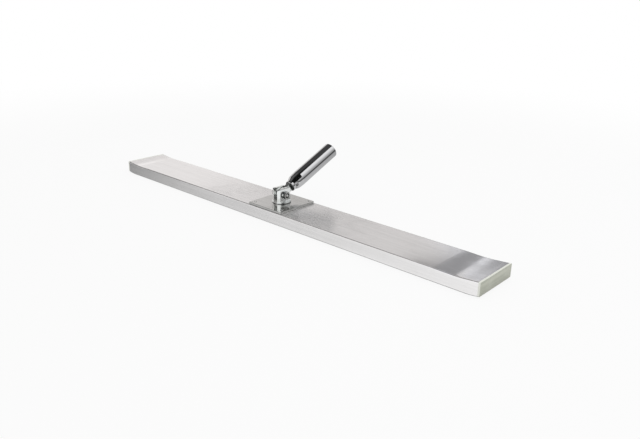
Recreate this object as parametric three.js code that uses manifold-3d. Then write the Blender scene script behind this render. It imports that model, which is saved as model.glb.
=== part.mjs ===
// Concrete spreader: a long hollow aluminium blade with turned-up ends, and a swivelling,
// tilting handle socket on a plate at its middle. Millimetres, +Z up, X along the blade.
// The origin is the middle of the sole, the flat underside that glides on the concrete.
import * as THREE from "three";
import Module from "manifold-3d";

const wasm = await Module();
wasm.setup();

// Blade: one aluminium extrusion with three chambers
const BLADE_LENGTH = 1200;
const BLADE_WIDTH = 125;
const BLADE_HEIGHT = 31;
const BLADE_WALL = 2;
const BLADE_CORNER_RADIUS = 2.5;
const CHAMBER_CORNER_RADIUS = 1;
const WEB_THICKNESS = 2;
const MIDDLE_CHAMBER_WIDTH = 42;

// Turned-up ends: the sole curves up like a sled runner, the top dips and then rises
const RUNNER_LENGTH = 36;
const RUNNER_RISE = 3.6;
const RUNNER_CURVE_SHARE = 2;
const DIP_FROM_END = 62;
const DIP_HALF_LENGTH = 50;
const DIP_DEPTH = 0.8;
const TIP_RISE = 3.6;
const TIP_CURVE_SHARE = 1.8;

// End caps: moulded plugs pushed into the open ends
const CAP_THICKNESS = 5;
const CAP_EDGE_RADIUS = 1.5;
const CAP_PLUG_LENGTH = 16;
const CAP_PLUG_WALL = 1.8;
const CAP_PLUG_CLEARANCE = 0.3;

// Mounting plate and the four countersunk rivets that hold it to the blade
const PLATE_LENGTH = 115;
const PLATE_SIDE_MARGIN = 2.5;
const PLATE_THICKNESS = 5;
const PLATE_CORNER_RADIUS = 4;
const PLATE_EDGE_BEVEL = 0.6;
const RIVET_EDGE_DISTANCE = 11;
const RIVET_DIAMETER = 6.4;
const RIVET_HEAD_DIAMETER = 12;
const RIVET_HEAD_HEIGHT = 2.4;
const RIVET_TAIL_DIAMETER = 9.6;
const RIVET_TAIL_LENGTH = 5;
const RIVET_MANDREL_DIAMETER = 3.2;
const RIVET_MANDREL_DEPTH = 1.2;
const RIVET_CLEARANCE = 0.2;

// Swivel: the fork's own threaded spigot turns in the plate, held by a nut inside the blade
const FRICTION_DISC_INSET = 1;
const FRICTION_DISC_THICKNESS = 1;
const SPIGOT_DIAMETER = 12;
const SPIGOT_END_LENGTH = 2;
const SPIGOT_END_CHAMFER = 1;
const SWIVEL_CLEARANCE = 0.3;
const SWIVEL_WASHER_DIAMETER = 24;
const SWIVEL_WASHER_THICKNESS = 2.5;
const SWIVEL_NUT_ACROSS_FLATS = 19;
const SWIVEL_NUT_HEIGHT = 8;
const SWIVEL_ACCESS_MARGIN = 3;

// Fork: a turned post on a foot, with a slot milled across it and a flat milled on each side,
// which leaves two ears whose upper corners are rounded
const FOOT_RIM_WIDTH = 2;
const FOOT_THICKNESS = 2.6;
const FOOT_EDGE_RADIUS = 0.8;
const POST_DIAMETER = 44;
const EAR_ABOVE_PIVOT = 17.5;
const POST_TOP_EDGE_RADIUS = 1.5;
const SLOT_WIDTH = 12;
const SLOT_FLOOR_ABOVE_FOOT = 2.4;
const SLOT_ROOT_RADIUS = 2;
const EAR_THICKNESS = 7.5;
const EAR_ROOT_RADIUS = 4.5;
const EAR_TOP_EDGE_RADIUS = 2;
const EAR_CORNER_RADIUS = 9;
const EYE_FLOOR_CLEARANCE = 3;
const WASHER_ROOT_CLEARANCE = 1;

// Tilt bolt, its washers and its locking nut
const BOLT_DIAMETER = 10;
const BOLT_CLEARANCE = 0.25;
const BOLT_HEAD_ACROSS_FLATS = 17;
const BOLT_HEAD_HEIGHT = 6.4;
const BOLT_END_LENGTH = 4;
const BOLT_END_CHAMFER = 1;
const WASHER_DIAMETER = 20;
const WASHER_THICKNESS = 1.6;
const NUT_ACROSS_FLATS = 17;
const NUT_HEX_HEIGHT = 8.9;
const NUT_COLLAR_HEIGHT = 2.6;
const NUT_COLLAR_WALL = 0.7;
const HEX_CHAMFER_HEIGHT = 0.8;
const NYLON_RING_WIDTH = 1.1;
const NYLON_RING_CLEARANCE = 0.25;
const THRUST_WASHER_DIAMETER = 20;
const THRUST_WASHER_GAP = 0.25;
const THRUST_WASHER_THICKNESS = 0.8;

// Hinge eye: a flat tongue round the bolt, with a tapered plug held in the socket's neck
const EYE_RADIUS = 11;
const TONGUE_WIDTH = 20;
const TONGUE_SHOULDER_LENGTH = 6;
const PLUG_LENGTH = 24;

// Handle socket: a steel tube drawn in to a neck
const SOCKET_DIAMETER = 40;
const SOCKET_WALL = 2;
const NECK_DIAMETER = 28;
const NECK_POST_CLEARANCE = 4.9;
const NECK_LIP_LENGTH = 7;
const TAPER_LENGTH = 27;
const TAPER_BLEND_LENGTH = 4;
const SOCKET_MOUTH_FROM_PIVOT = 200;
const MOUTH_EDGE_RADIUS = 0.7;
const NECK_CLEARANCE = 0.3;

// How far the socket leans up from level as it stands
const REST_TILT_DEGREES = 23.5;

// Every cutter runs this far past the faces that it goes through
const CUT_OVERRUN = 2;

// Facets of round pieces
const ROUND_FACETS = 56;
const SMALL_ROUND_FACETS = 28;
const RIVET_FACETS = 20;
const ARC_FACETS = 16;
const CORNER_FACETS = 4;
const EAR_CORNER_FACETS = 6;
const CHAMBER_CORNER_FACETS = 2;
const END_STATIONS = 11;
const PLUG_STATIONS = 4;

const plateWidth = BLADE_WIDTH - 2 * PLATE_SIDE_MARGIN;
const plateTop = BLADE_HEIGHT + PLATE_THICKNESS;
const footBottom = plateTop + FRICTION_DISC_THICKNESS;
const footTop = footBottom + FOOT_THICKNESS;
const footRadius = POST_DIAMETER / 2 + FOOT_RIM_WIDTH;
const earOuter = SLOT_WIDTH / 2 + EAR_THICKNESS;

// The pivot is as low as the eye over the slot's floor and the washers over the coves allow
const pivotAboveFoot = Math.max(
  SLOT_FLOOR_ABOVE_FOOT + EYE_FLOOR_CLEARANCE + EYE_RADIUS,
  EAR_ROOT_RADIUS + WASHER_ROOT_CLEARANCE + WASHER_DIAMETER / 2,
);
const pivotHeight = footTop + pivotAboveFoot;
const postTop = pivotHeight + EAR_ABOVE_PIVOT;

// The socket's neck swings past the corners of the ears
const neckFromPivot = Math.hypot(POST_DIAMETER / 2, EAR_ABOVE_PIVOT) + NECK_POST_CLEARANCE;
const tongueThickness = SLOT_WIDTH - 2 * (THRUST_WASHER_THICKNESS + 2 * THRUST_WASHER_GAP);

const materials = {
  brushedAluminium: new THREE.MeshStandardMaterial({ color: 0xc9c8c6, roughness: 0.38, metalness: 1 }),
  plateSteel: new THREE.MeshStandardMaterial({ color: 0xb2b2b0, roughness: 0.3, metalness: 1 }),
  zincPlate: new THREE.MeshStandardMaterial({ color: 0xbfc3c2, roughness: 0.28, metalness: 1 }),
  chrome: new THREE.MeshStandardMaterial({ color: 0xd8d9da, roughness: 0.08, metalness: 1 }),
  capPlastic: new THREE.MeshStandardMaterial({ color: 0xb6b9a8, roughness: 0.55, metalness: 0 }),
  darkNylon: new THREE.MeshStandardMaterial({ color: 0x2b2c2c, roughness: 0.6, metalness: 0 }),
};

// A closed mesh as a solid that can be joined and cut
function solidFrom(geometry) {
  const source = geometry.index ? geometry.toNonIndexed() : geometry;
  const places = source.getAttribute("position");
  const found = new Map();
  const points = [];
  const corners = [];
  for (let i = 0; i < places.count; i++) {
    const point = [places.getX(i), places.getY(i), places.getZ(i)];
    const key = point.map((value) => Math.round(value * 1e4)).join(",");
    if (!found.has(key)) {
      found.set(key, found.size);
      points.push(...point);
    }
    corners.push(found.get(key));
  }
  const faces = [];
  for (let i = 0; i < corners.length; i += 3) {
    const [a, b, c] = corners.slice(i, i + 3);
    if (a !== b && b !== c && c !== a) faces.push(a, b, c);
  }
  const mesh = new wasm.Mesh({
    numProp: 3,
    vertProperties: new Float32Array(points),
    triVerts: new Uint32Array(faces),
  });
  return new wasm.Manifold(mesh);
}

function geometryFrom(solid) {
  const mesh = solid.getMesh();
  const geometry = new THREE.BufferGeometry();
  geometry.setAttribute("position", new THREE.BufferAttribute(mesh.vertProperties, mesh.numProp));
  geometry.setIndex(new THREE.BufferAttribute(mesh.triVerts, 1));
  geometry.computeVertexNormals();
  return geometry;
}

function namedMesh(name, solid, material) {
  const mesh = new THREE.Mesh(geometryFrom(solid), material);
  mesh.name = name;
  return mesh;
}

// A turned solid about Z from [radius, height] pairs that start and end on the axis or close
function turned(profile, facets = ROUND_FACETS) {
  const outline = profile.map(([radius, height]) => new THREE.Vector2(radius, height));
  return solidFrom(new THREE.LatheGeometry(outline, facets).rotateX(Math.PI / 2));
}

function rod(radius, bottom, top, facets = ROUND_FACETS) {
  return turned([[0, bottom], [radius, bottom], [radius, top], [0, top]], facets);
}

function ring(innerRadius, outerRadius, bottom, top, facets = ROUND_FACETS) {
  const corners = [[innerRadius, bottom], [outerRadius, bottom], [outerRadius, top], [innerRadius, top]];
  return turned([...corners, corners[0]], facets);
}

// The same solid with its own Z axis laid along +X
function alongX(solid) {
  return solid.rotate([0, 90, 0]);
}

// A shape drawn in X and Y, raised between two heights
function raised(shape, bottom, top, arcFacets = ARC_FACETS) {
  const geometry = new THREE.ExtrudeGeometry(shape, {
    depth: top - bottom,
    bevelEnabled: false,
    curveSegments: arcFacets,
  });
  return solidFrom(geometry.translate(0, 0, bottom));
}

function hexagon(acrossFlats) {
  const cornerRadius = acrossFlats / Math.sqrt(3);
  const points = [];
  for (let i = 0; i < 6; i++) {
    const angle = (i * Math.PI) / 3;
    points.push(new THREE.Vector2(cornerRadius * Math.cos(angle), cornerRadius * Math.sin(angle)));
  }
  return new THREE.Shape(points);
}

// A hexagon whose corners are turned off towards its top face
function chamferedHexagon(acrossFlats, bottom, top) {
  const faceRadius = acrossFlats / 2;
  const cornerRadius = acrossFlats / Math.sqrt(3);
  const turning = turned([
    [0, bottom],
    [cornerRadius, bottom],
    [cornerRadius, top - HEX_CHAMFER_HEIGHT],
    [faceRadius, top],
    [0, top],
  ]);
  return raised(hexagon(acrossFlats), bottom, top).intersect(turning);
}

// Corner points of a rectangle in Y and Z with round corners, anticlockwise seen from +X
function roundedSection(left, right, bottom, top, radius, facets) {
  const centres = [
    [right - radius, top - radius],
    [left + radius, top - radius],
    [left + radius, bottom + radius],
    [right - radius, bottom + radius],
  ];
  const points = [];
  centres.forEach(([y, z], corner) => {
    for (let i = 0; i <= facets; i++) {
      const angle = ((corner + i / facets) * Math.PI) / 2;
      points.push([y + radius * Math.cos(angle), z + radius * Math.sin(angle)]);
    }
  });
  return points;
}

// A solid through sections of equal point count, each { x, points } with points in Y and Z
function lofted(sections) {
  const count = sections[0].points.length;
  const places = sections.flatMap(({ x, points }) => points.flatMap(([y, z]) => [x, y, z]));
  const faces = [];
  for (let s = 0; s + 1 < sections.length; s++) {
    for (let i = 0; i < count; i++) {
      const here = s * count + i;
      const beside = s * count + ((i + 1) % count);
      faces.push(here, beside, here + count, beside, beside + count, here + count);
    }
  }
  const last = (sections.length - 1) * count;
  for (let i = 1; i + 1 < count; i++) {
    faces.push(0, i + 1, i, last, last + i, last + i + 1);
  }
  const geometry = new THREE.BufferGeometry();
  geometry.setAttribute("position", new THREE.Float32BufferAttribute(places, 3));
  geometry.setIndex(faces);
  return solidFrom(geometry);
}

// Height of the sole and of the top face at a distance from the nearer end
function soleHeight(fromEnd) {
  return RUNNER_RISE * Math.max(0, 1 - fromEnd / RUNNER_LENGTH) ** RUNNER_CURVE_SHARE;
}

function topHeight(fromEnd) {
  const alongDip = Math.min(1, Math.abs(fromEnd - DIP_FROM_END) / DIP_HALF_LENGTH);
  const dip = DIP_DEPTH * Math.cos((alongDip * Math.PI) / 2) ** 2;
  const rise = TIP_RISE * Math.max(0, 1 - fromEnd / DIP_FROM_END) ** TIP_CURVE_SHARE;
  return BLADE_HEIGHT + rise - dip;
}

// Distances from the end at which the formed stretch is drawn, closest at the tip
const formedLength = DIP_FROM_END + DIP_HALF_LENGTH;
const endStations = Array.from(
  { length: END_STATIONS + 1 },
  (_, i) => formedLength * (i / END_STATIONS) ** 1.5,
);

const chamberEdge = BLADE_WIDTH / 2 - BLADE_WALL;
const middleEdge = MIDDLE_CHAMBER_WIDTH / 2;
const chambers = [
  [-chamberEdge, -middleEdge - WEB_THICKNESS],
  [-middleEdge, middleEdge],
  [middleEdge + WEB_THICKNESS, chamberEdge],
];

// The outline at a distance from the end face of the finished spreader, drawn in by an inset
function bladeSection(fromEnd, inset = 0) {
  const half = BLADE_WIDTH / 2 - inset;
  return roundedSection(
    -half, half, soleHeight(fromEnd) + inset, topHeight(fromEnd) - inset,
    BLADE_CORNER_RADIUS, CORNER_FACETS);
}

// A chamber's outline, drawn in by an inset where a plug goes into it
function chamberSection([left, right], fromEnd, inset) {
  const shrink = BLADE_WALL + inset;
  return roundedSection(
    left + inset, right - inset, soleHeight(fromEnd) + shrink, topHeight(fromEnd) - shrink,
    CHAMBER_CORNER_RADIUS, CHAMBER_CORNER_FACETS);
}

function bladeStretch(sectionAt, overrun) {
  const right = [];
  for (const station of endStations) {
    const fromEnd = CAP_THICKNESS + station;
    right.push({ x: BLADE_LENGTH / 2 - fromEnd, points: sectionAt(fromEnd) });
  }
  const left = right.map(({ x, points }) => ({ x: -x, points })).sort((a, b) => a.x - b.x);
  const all = [...left, ...right.reverse()];
  if (overrun) {
    all.unshift({ x: all[0].x - overrun, points: all[0].points });
    all.push({ x: all[all.length - 1].x + overrun, points: all[all.length - 1].points });
  }
  return lofted(all);
}

const rivetPlaces = [];
for (const sideX of [-1, 1]) {
  for (const sideY of [-1, 1]) {
    rivetPlaces.push([
      sideX * (PLATE_LENGTH / 2 - RIVET_EDGE_DISTANCE),
      sideY * (plateWidth / 2 - RIVET_EDGE_DISTANCE),
    ]);
  }
}

function bladeProfile() {
  let blade = bladeStretch((fromEnd) => bladeSection(fromEnd), 0);
  for (const chamber of chambers) {
    blade = blade.subtract(
      bladeStretch((fromEnd) => chamberSection(chamber, fromEnd, 0), CUT_OVERRUN));
  }
  const wallBottom = BLADE_HEIGHT - BLADE_WALL - CUT_OVERRUN;
  const wallTop = BLADE_HEIGHT + CUT_OVERRUN;
  const access = SWIVEL_WASHER_DIAMETER / 2 + SWIVEL_ACCESS_MARGIN;
  blade = blade.subtract(rod(access, wallBottom, wallTop));
  for (const [x, y] of rivetPlaces) {
    const hole = rod(RIVET_DIAMETER / 2 + RIVET_CLEARANCE, wallBottom, wallTop, RIVET_FACETS);
    blade = blade.subtract(hole.translate([x, y, 0]));
  }
  return blade;
}

// An end cap, drawn at the +X end: a plate with a round outer edge and a hollow plug for each chamber
function endCap() {
  const face = BLADE_LENGTH / 2;
  const sections = [{ x: face - CAP_THICKNESS, points: bladeSection(CAP_THICKNESS) }];
  for (let i = 0; i <= CORNER_FACETS; i++) {
    const angle = ((i / CORNER_FACETS) * Math.PI) / 2;
    const fromEnd = CAP_EDGE_RADIUS * (1 - Math.sin(angle));
    const inset = CAP_EDGE_RADIUS * (1 - Math.cos(angle));
    sections.push({ x: face - fromEnd, points: bladeSection(fromEnd, inset) });
  }
  let cap = lofted(sections);
  const plugStations = [CAP_THICKNESS - CAP_EDGE_RADIUS];
  for (let i = 0; i <= PLUG_STATIONS; i++) {
    plugStations.push(CAP_THICKNESS + (CAP_PLUG_LENGTH * i) / PLUG_STATIONS);
  }
  for (const chamber of chambers) {
    const plug = (inset, overrun) =>
      lofted(
        plugStations
          .map((fromEnd, i) => ({
            x: face - fromEnd - (i === plugStations.length - 1 ? overrun : 0),
            points: chamberSection(chamber, Math.max(fromEnd, CAP_THICKNESS), inset),
          }))
          .reverse(),
      );
    const pocket = plug(CAP_PLUG_CLEARANCE + CAP_PLUG_WALL, CUT_OVERRUN);
    cap = cap.add(plug(CAP_PLUG_CLEARANCE, 0)).subtract(pocket);
  }
  return cap;
}

function mountPlate() {
  const halfX = PLATE_LENGTH / 2 - PLATE_EDGE_BEVEL;
  const halfY = plateWidth / 2 - PLATE_EDGE_BEVEL;
  const radius = PLATE_CORNER_RADIUS - PLATE_EDGE_BEVEL;
  const outline = new THREE.Shape();
  outline.moveTo(-halfX + radius, -halfY);
  outline.absarc(halfX - radius, -halfY + radius, radius, -Math.PI / 2, 0);
  outline.absarc(halfX - radius, halfY - radius, radius, 0, Math.PI / 2);
  outline.absarc(-halfX + radius, halfY - radius, radius, Math.PI / 2, Math.PI);
  outline.absarc(-halfX + radius, -halfY + radius, radius, Math.PI, (3 * Math.PI) / 2);
  const slab = new THREE.ExtrudeGeometry(outline, {
    depth: PLATE_THICKNESS - 2 * PLATE_EDGE_BEVEL,
    bevelThickness: PLATE_EDGE_BEVEL,
    bevelSize: PLATE_EDGE_BEVEL,
    bevelSegments: 1,
    curveSegments: CORNER_FACETS,
  });
  let plate = solidFrom(slab.translate(0, 0, BLADE_HEIGHT + PLATE_EDGE_BEVEL));
  const bottom = BLADE_HEIGHT - CUT_OVERRUN;
  const top = plateTop + CUT_OVERRUN;
  plate = plate.subtract(rod(SPIGOT_DIAMETER / 2 + SWIVEL_CLEARANCE, bottom, top));
  const shank = RIVET_DIAMETER / 2 + RIVET_CLEARANCE;
  const head = RIVET_HEAD_DIAMETER / 2 + RIVET_CLEARANCE;
  const seat = plateTop - RIVET_HEAD_HEIGHT - RIVET_CLEARANCE;
  for (const [x, y] of rivetPlaces) {
    const hole = turned(
      [[0, bottom], [shank, bottom], [shank, seat], [head, plateTop], [head, top], [0, top]],
      RIVET_FACETS);
    plate = plate.subtract(hole.translate([x, y, 0]));
  }
  return plate;
}

// A blind rivet: flush head with the mandrel's recess, and a tail spread under the blade's top wall
function plateRivet([x, y]) {
  const shank = RIVET_DIAMETER / 2;
  const underWall = BLADE_HEIGHT - BLADE_WALL - RIVET_CLEARANCE;
  const tailEnd = underWall - RIVET_TAIL_LENGTH;
  const recess = RIVET_MANDREL_DIAMETER / 2;
  const rivet = turned([
    [0, tailEnd],
    [shank, tailEnd],
    [RIVET_TAIL_DIAMETER / 2, underWall - RIVET_TAIL_LENGTH / 2],
    [RIVET_TAIL_DIAMETER / 2, underWall],
    [shank, underWall],
    [shank, plateTop - RIVET_HEAD_HEIGHT],
    [RIVET_HEAD_DIAMETER / 2, plateTop],
    [recess, plateTop],
    [recess, plateTop - RIVET_MANDREL_DEPTH],
    [0, plateTop - RIVET_MANDREL_DEPTH],
  ], RIVET_FACETS);
  return rivet.translate([x, y, 0]);
}

function frictionDisc() {
  const bore = SPIGOT_DIAMETER / 2 + SWIVEL_CLEARANCE;
  return ring(bore, footRadius - FRICTION_DISC_INSET, plateTop, footBottom);
}

function swivelWasher() {
  const bore = SPIGOT_DIAMETER / 2 + SWIVEL_CLEARANCE;
  const outer = SWIVEL_WASHER_DIAMETER / 2;
  return ring(bore, outer, BLADE_HEIGHT - SWIVEL_WASHER_THICKNESS, BLADE_HEIGHT, SMALL_ROUND_FACETS);
}

function swivelNut() {
  const top = BLADE_HEIGHT - SWIVEL_WASHER_THICKNESS;
  const bottom = top - SWIVEL_NUT_HEIGHT;
  const nut = chamferedHexagon(SWIVEL_NUT_ACROSS_FLATS, -top, -bottom).rotate([180, 0, 0]);
  const bore = SPIGOT_DIAMETER / 2 + SWIVEL_CLEARANCE;
  return nut.subtract(rod(bore, bottom - CUT_OVERRUN, top + CUT_OVERRUN, SMALL_ROUND_FACETS));
}

// Points of a quarter round on a turned edge, from its lower or inner tangent to its upper one
function quarterRound(centreRadius, centreHeight, radius, startDegrees, endDegrees) {
  const points = [];
  for (let i = 0; i <= CORNER_FACETS; i++) {
    const angle = THREE.MathUtils.degToRad(
      startDegrees + ((endDegrees - startDegrees) * i) / CORNER_FACETS);
    points.push([centreRadius + radius * Math.cos(angle), centreHeight + radius * Math.sin(angle)]);
  }
  return points;
}

// The fork before milling: spigot, foot and post turned in one piece
function turnedPost() {
  const post = POST_DIAMETER / 2;
  const spigot = SPIGOT_DIAMETER / 2;
  const spigotEnd = BLADE_HEIGHT - SWIVEL_WASHER_THICKNESS - SWIVEL_NUT_HEIGHT - SPIGOT_END_LENGTH;
  return turned([
    [0, spigotEnd],
    [spigot - SPIGOT_END_CHAMFER, spigotEnd],
    [spigot, spigotEnd + SPIGOT_END_CHAMFER],
    [spigot, footBottom],
    [footRadius, footBottom],
    ...quarterRound(
      footRadius - FOOT_EDGE_RADIUS, footTop - FOOT_EDGE_RADIUS, FOOT_EDGE_RADIUS, 0, 90),
    [post, footTop],
    ...quarterRound(
      post - POST_TOP_EDGE_RADIUS, postTop - POST_TOP_EDGE_RADIUS, POST_TOP_EDGE_RADIUS, 0, 90),
    [0, postTop],
  ]);
}

// What milling takes away, drawn in X and Z: the slot, with round roots
function slotOutline() {
  const half = SLOT_WIDTH / 2;
  const root = footTop + SLOT_FLOOR_ABOVE_FOOT + SLOT_ROOT_RADIUS;
  const top = postTop + CUT_OVERRUN;
  const outline = new THREE.Shape();
  outline.moveTo(-half, top);
  outline.lineTo(-half, root);
  outline.absarc(-half + SLOT_ROOT_RADIUS, root, SLOT_ROOT_RADIUS, Math.PI, (3 * Math.PI) / 2);
  outline.absarc(half - SLOT_ROOT_RADIUS, root, SLOT_ROOT_RADIUS, -Math.PI / 2, 0);
  outline.lineTo(half, top);
  return outline;
}

// What milling takes away on the +X side: a flat with a wide cove at the foot and a soft top edge
function flatOutline() {
  const reach = footRadius + CUT_OVERRUN;
  const cove = footTop + EAR_ROOT_RADIUS;
  const edge = postTop - EAR_TOP_EDGE_RADIUS;
  const outline = new THREE.Shape();
  outline.moveTo(reach, footTop);
  outline.lineTo(reach, postTop + CUT_OVERRUN);
  outline.lineTo(earOuter - EAR_TOP_EDGE_RADIUS, postTop + CUT_OVERRUN);
  outline.lineTo(earOuter - EAR_TOP_EDGE_RADIUS, postTop);
  outline.absarc(earOuter - EAR_TOP_EDGE_RADIUS, edge, EAR_TOP_EDGE_RADIUS, Math.PI / 2, 0, true);
  outline.lineTo(earOuter, cove);
  outline.absarc(earOuter + EAR_ROOT_RADIUS, cove, EAR_ROOT_RADIUS, Math.PI, (3 * Math.PI) / 2);
  return outline;
}

// What milling takes away on the +Y side, drawn in Y and Z: the ears' upper corner, rounded
function cornerOutline() {
  const reach = footRadius + CUT_OVERRUN;
  const inner = POST_DIAMETER / 2 - EAR_CORNER_RADIUS;
  const outline = new THREE.Shape();
  outline.moveTo(reach, postTop - EAR_CORNER_RADIUS);
  outline.lineTo(reach, postTop + CUT_OVERRUN);
  outline.lineTo(inner, postTop + CUT_OVERRUN);
  outline.lineTo(inner, postTop);
  outline.absarc(inner, postTop - EAR_CORNER_RADIUS, EAR_CORNER_RADIUS, Math.PI / 2, 0, true);
  return outline;
}

function jointFork() {
  const reach = footRadius + CUT_OVERRUN;
  const boltHole = rod(BOLT_DIAMETER / 2 + BOLT_CLEARANCE, -reach, reach, SMALL_ROUND_FACETS);
  const slot = raised(slotOutline(), -reach, reach, CORNER_FACETS).rotate([90, 0, 0]);
  const flat = raised(flatOutline(), -reach, reach, CORNER_FACETS).rotate([90, 0, 0]);
  const corner = raised(cornerOutline(), -reach, reach, EAR_CORNER_FACETS)
    .rotate([90, 0, 0])
    .rotate([0, 0, 90]);
  return turnedPost()
    .subtract(slot)
    .subtract(flat)
    .subtract(flat.rotate([0, 0, 180]))
    .subtract(corner)
    .subtract(corner.rotate([0, 0, 180]))
    .subtract(alongX(boltHole).translate([0, 0, pivotHeight]));
}

const boltHeadSeat = earOuter + WASHER_THICKNESS;
const nutSeat = -earOuter - WASHER_THICKNESS;

function tiltBolt() {
  const shank = BOLT_DIAMETER / 2;
  const end = nutSeat - NUT_HEX_HEIGHT - NUT_COLLAR_HEIGHT - BOLT_END_LENGTH;
  const shaft = turned([
    [0, end],
    [shank - BOLT_END_CHAMFER, end],
    [shank, end + BOLT_END_CHAMFER],
    [shank, boltHeadSeat],
    [0, boltHeadSeat],
  ], SMALL_ROUND_FACETS);
  const head = chamferedHexagon(BOLT_HEAD_ACROSS_FLATS, boltHeadSeat, boltHeadSeat + BOLT_HEAD_HEIGHT);
  return alongX(shaft.add(head)).translate([0, 0, pivotHeight]);
}

function boltWasher(seatStart) {
  const bore = BOLT_DIAMETER / 2 + BOLT_CLEARANCE;
  const washer = ring(
    bore, WASHER_DIAMETER / 2, seatStart, seatStart + WASHER_THICKNESS, SMALL_ROUND_FACETS);
  return alongX(washer).translate([0, 0, pivotHeight]);
}

// Locking nut: a hexagon with a round collar, open at its end, that holds a nylon ring
const nutHexTop = -nutSeat + NUT_HEX_HEIGHT;
const nutCollarTop = nutHexTop + NUT_COLLAR_HEIGHT;
const nylonRingOuter = BOLT_DIAMETER / 2 + BOLT_CLEARANCE + NYLON_RING_WIDTH;
const collarPocket = nylonRingOuter + NYLON_RING_CLEARANCE;

// The nut is drawn with its seat lowest and then laid along -X
function laidOnNutSide(solid) {
  return alongX(solid.rotate([180, 0, 0])).translate([0, 0, pivotHeight]);
}

function lockNut() {
  const bore = BOLT_DIAMETER / 2 + BOLT_CLEARANCE;
  const collarRadius = collarPocket + NUT_COLLAR_WALL;
  const collar = rod(collarRadius, nutHexTop - HEX_CHAMFER_HEIGHT, nutCollarTop, SMALL_ROUND_FACETS);
  const pocket = rod(collarPocket, nutHexTop, nutCollarTop + CUT_OVERRUN, SMALL_ROUND_FACETS);
  const nut = chamferedHexagon(NUT_ACROSS_FLATS, -nutSeat, nutHexTop)
    .add(collar)
    .subtract(pocket)
    .subtract(rod(bore, -nutSeat - CUT_OVERRUN, nutCollarTop + CUT_OVERRUN, SMALL_ROUND_FACETS));
  return laidOnNutSide(nut);
}

function nylonRing() {
  const bore = BOLT_DIAMETER / 2 + BOLT_CLEARANCE;
  return laidOnNutSide(
    ring(bore, nylonRingOuter, nutHexTop + NYLON_RING_CLEARANCE, nutCollarTop, SMALL_ROUND_FACETS));
}

function thrustWasher(side) {
  const near = tongueThickness / 2 + THRUST_WASHER_GAP;
  const far = near + THRUST_WASHER_THICKNESS;
  const washer = ring(
    BOLT_DIAMETER / 2 + BOLT_CLEARANCE,
    THRUST_WASHER_DIAMETER / 2,
    Math.min(side * near, side * far),
    Math.max(side * near, side * far),
    SMALL_ROUND_FACETS);
  return alongX(washer).translate([0, 0, pivotHeight]);
}

// Outside radius of the socket at a distance from the pivot, along the neck and the taper
const taperStart = neckFromPivot + NECK_LIP_LENGTH;
const taperEnd = taperStart + TAPER_LENGTH;
function socketRadius(fromPivot) {
  const share = THREE.MathUtils.clamp((fromPivot - taperStart) / TAPER_LENGTH, 0, 1);
  return (NECK_DIAMETER + (SOCKET_DIAMETER - NECK_DIAMETER) * share) / 2;
}

// Drawn with the pivot at the origin and the handle's line along +Z, as the socket is
function hingeEye() {
  const halfThickness = tongueThickness / 2;
  const neckBore = NECK_DIAMETER / 2 - SOCKET_WALL - NECK_CLEARANCE;
  const plugEnd = neckFromPivot + PLUG_LENGTH;
  const plug = turned([
    [0, neckFromPivot],
    [neckBore, neckFromPivot],
    [neckBore, taperStart],
    [socketRadius(plugEnd) - SOCKET_WALL - NECK_CLEARANCE, plugEnd],
    [0, plugEnd],
  ]);
  const shoulderStart = neckFromPivot - TONGUE_SHOULDER_LENGTH;
  const tongue = new THREE.Shape();
  tongue.moveTo(-TONGUE_WIDTH / 2, 0);
  tongue.absarc(0, 0, EYE_RADIUS, Math.PI, 2 * Math.PI);
  tongue.lineTo(TONGUE_WIDTH / 2, EYE_RADIUS);
  tongue.lineTo(TONGUE_WIDTH / 2, shoulderStart);
  tongue.lineTo(neckBore, neckFromPivot);
  tongue.lineTo(neckBore, neckFromPivot + NECK_LIP_LENGTH);
  tongue.lineTo(-neckBore, neckFromPivot + NECK_LIP_LENGTH);
  tongue.lineTo(-neckBore, neckFromPivot);
  tongue.lineTo(-TONGUE_WIDTH / 2, shoulderStart);
  tongue.lineTo(-TONGUE_WIDTH / 2, EYE_RADIUS);
  const flat = raised(tongue, -halfThickness, halfThickness).rotate([90, 0, 0]).rotate([0, 0, 90]);
  const round = rod(neckBore, -EYE_RADIUS - CUT_OVERRUN, plugEnd);
  const reach = tongueThickness / 2 + CUT_OVERRUN;
  const hole = alongX(rod(BOLT_DIAMETER / 2 + BOLT_CLEARANCE, -reach, reach, SMALL_ROUND_FACETS));
  return flat.intersect(round).add(plug).subtract(hole);
}

function socketTube() {
  const outer = SOCKET_DIAMETER / 2;
  const neck = NECK_DIAMETER / 2;
  const mouth = SOCKET_MOUTH_FROM_PIVOT;
  const blendStart = taperEnd - TAPER_BLEND_LENGTH;
  const blend = new THREE.QuadraticBezierCurve(
    new THREE.Vector2(socketRadius(blendStart), blendStart),
    new THREE.Vector2(outer, taperEnd),
    new THREE.Vector2(outer, taperEnd + TAPER_BLEND_LENGTH),
  );
  const profile = [
    [neck, neckFromPivot],
    [neck, taperStart],
    ...blend.getPoints(CORNER_FACETS).map((point) => point.toArray()),
    [outer, mouth - MOUTH_EDGE_RADIUS],
    [outer - MOUTH_EDGE_RADIUS, mouth],
    [outer - SOCKET_WALL + MOUTH_EDGE_RADIUS, mouth],
    [outer - SOCKET_WALL, mouth - MOUTH_EDGE_RADIUS],
    [outer - SOCKET_WALL, taperEnd],
    [neck - SOCKET_WALL, taperStart],
    [neck - SOCKET_WALL, neckFromPivot],
    [neck, neckFromPivot],
  ];
  return turned(profile);
}

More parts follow.
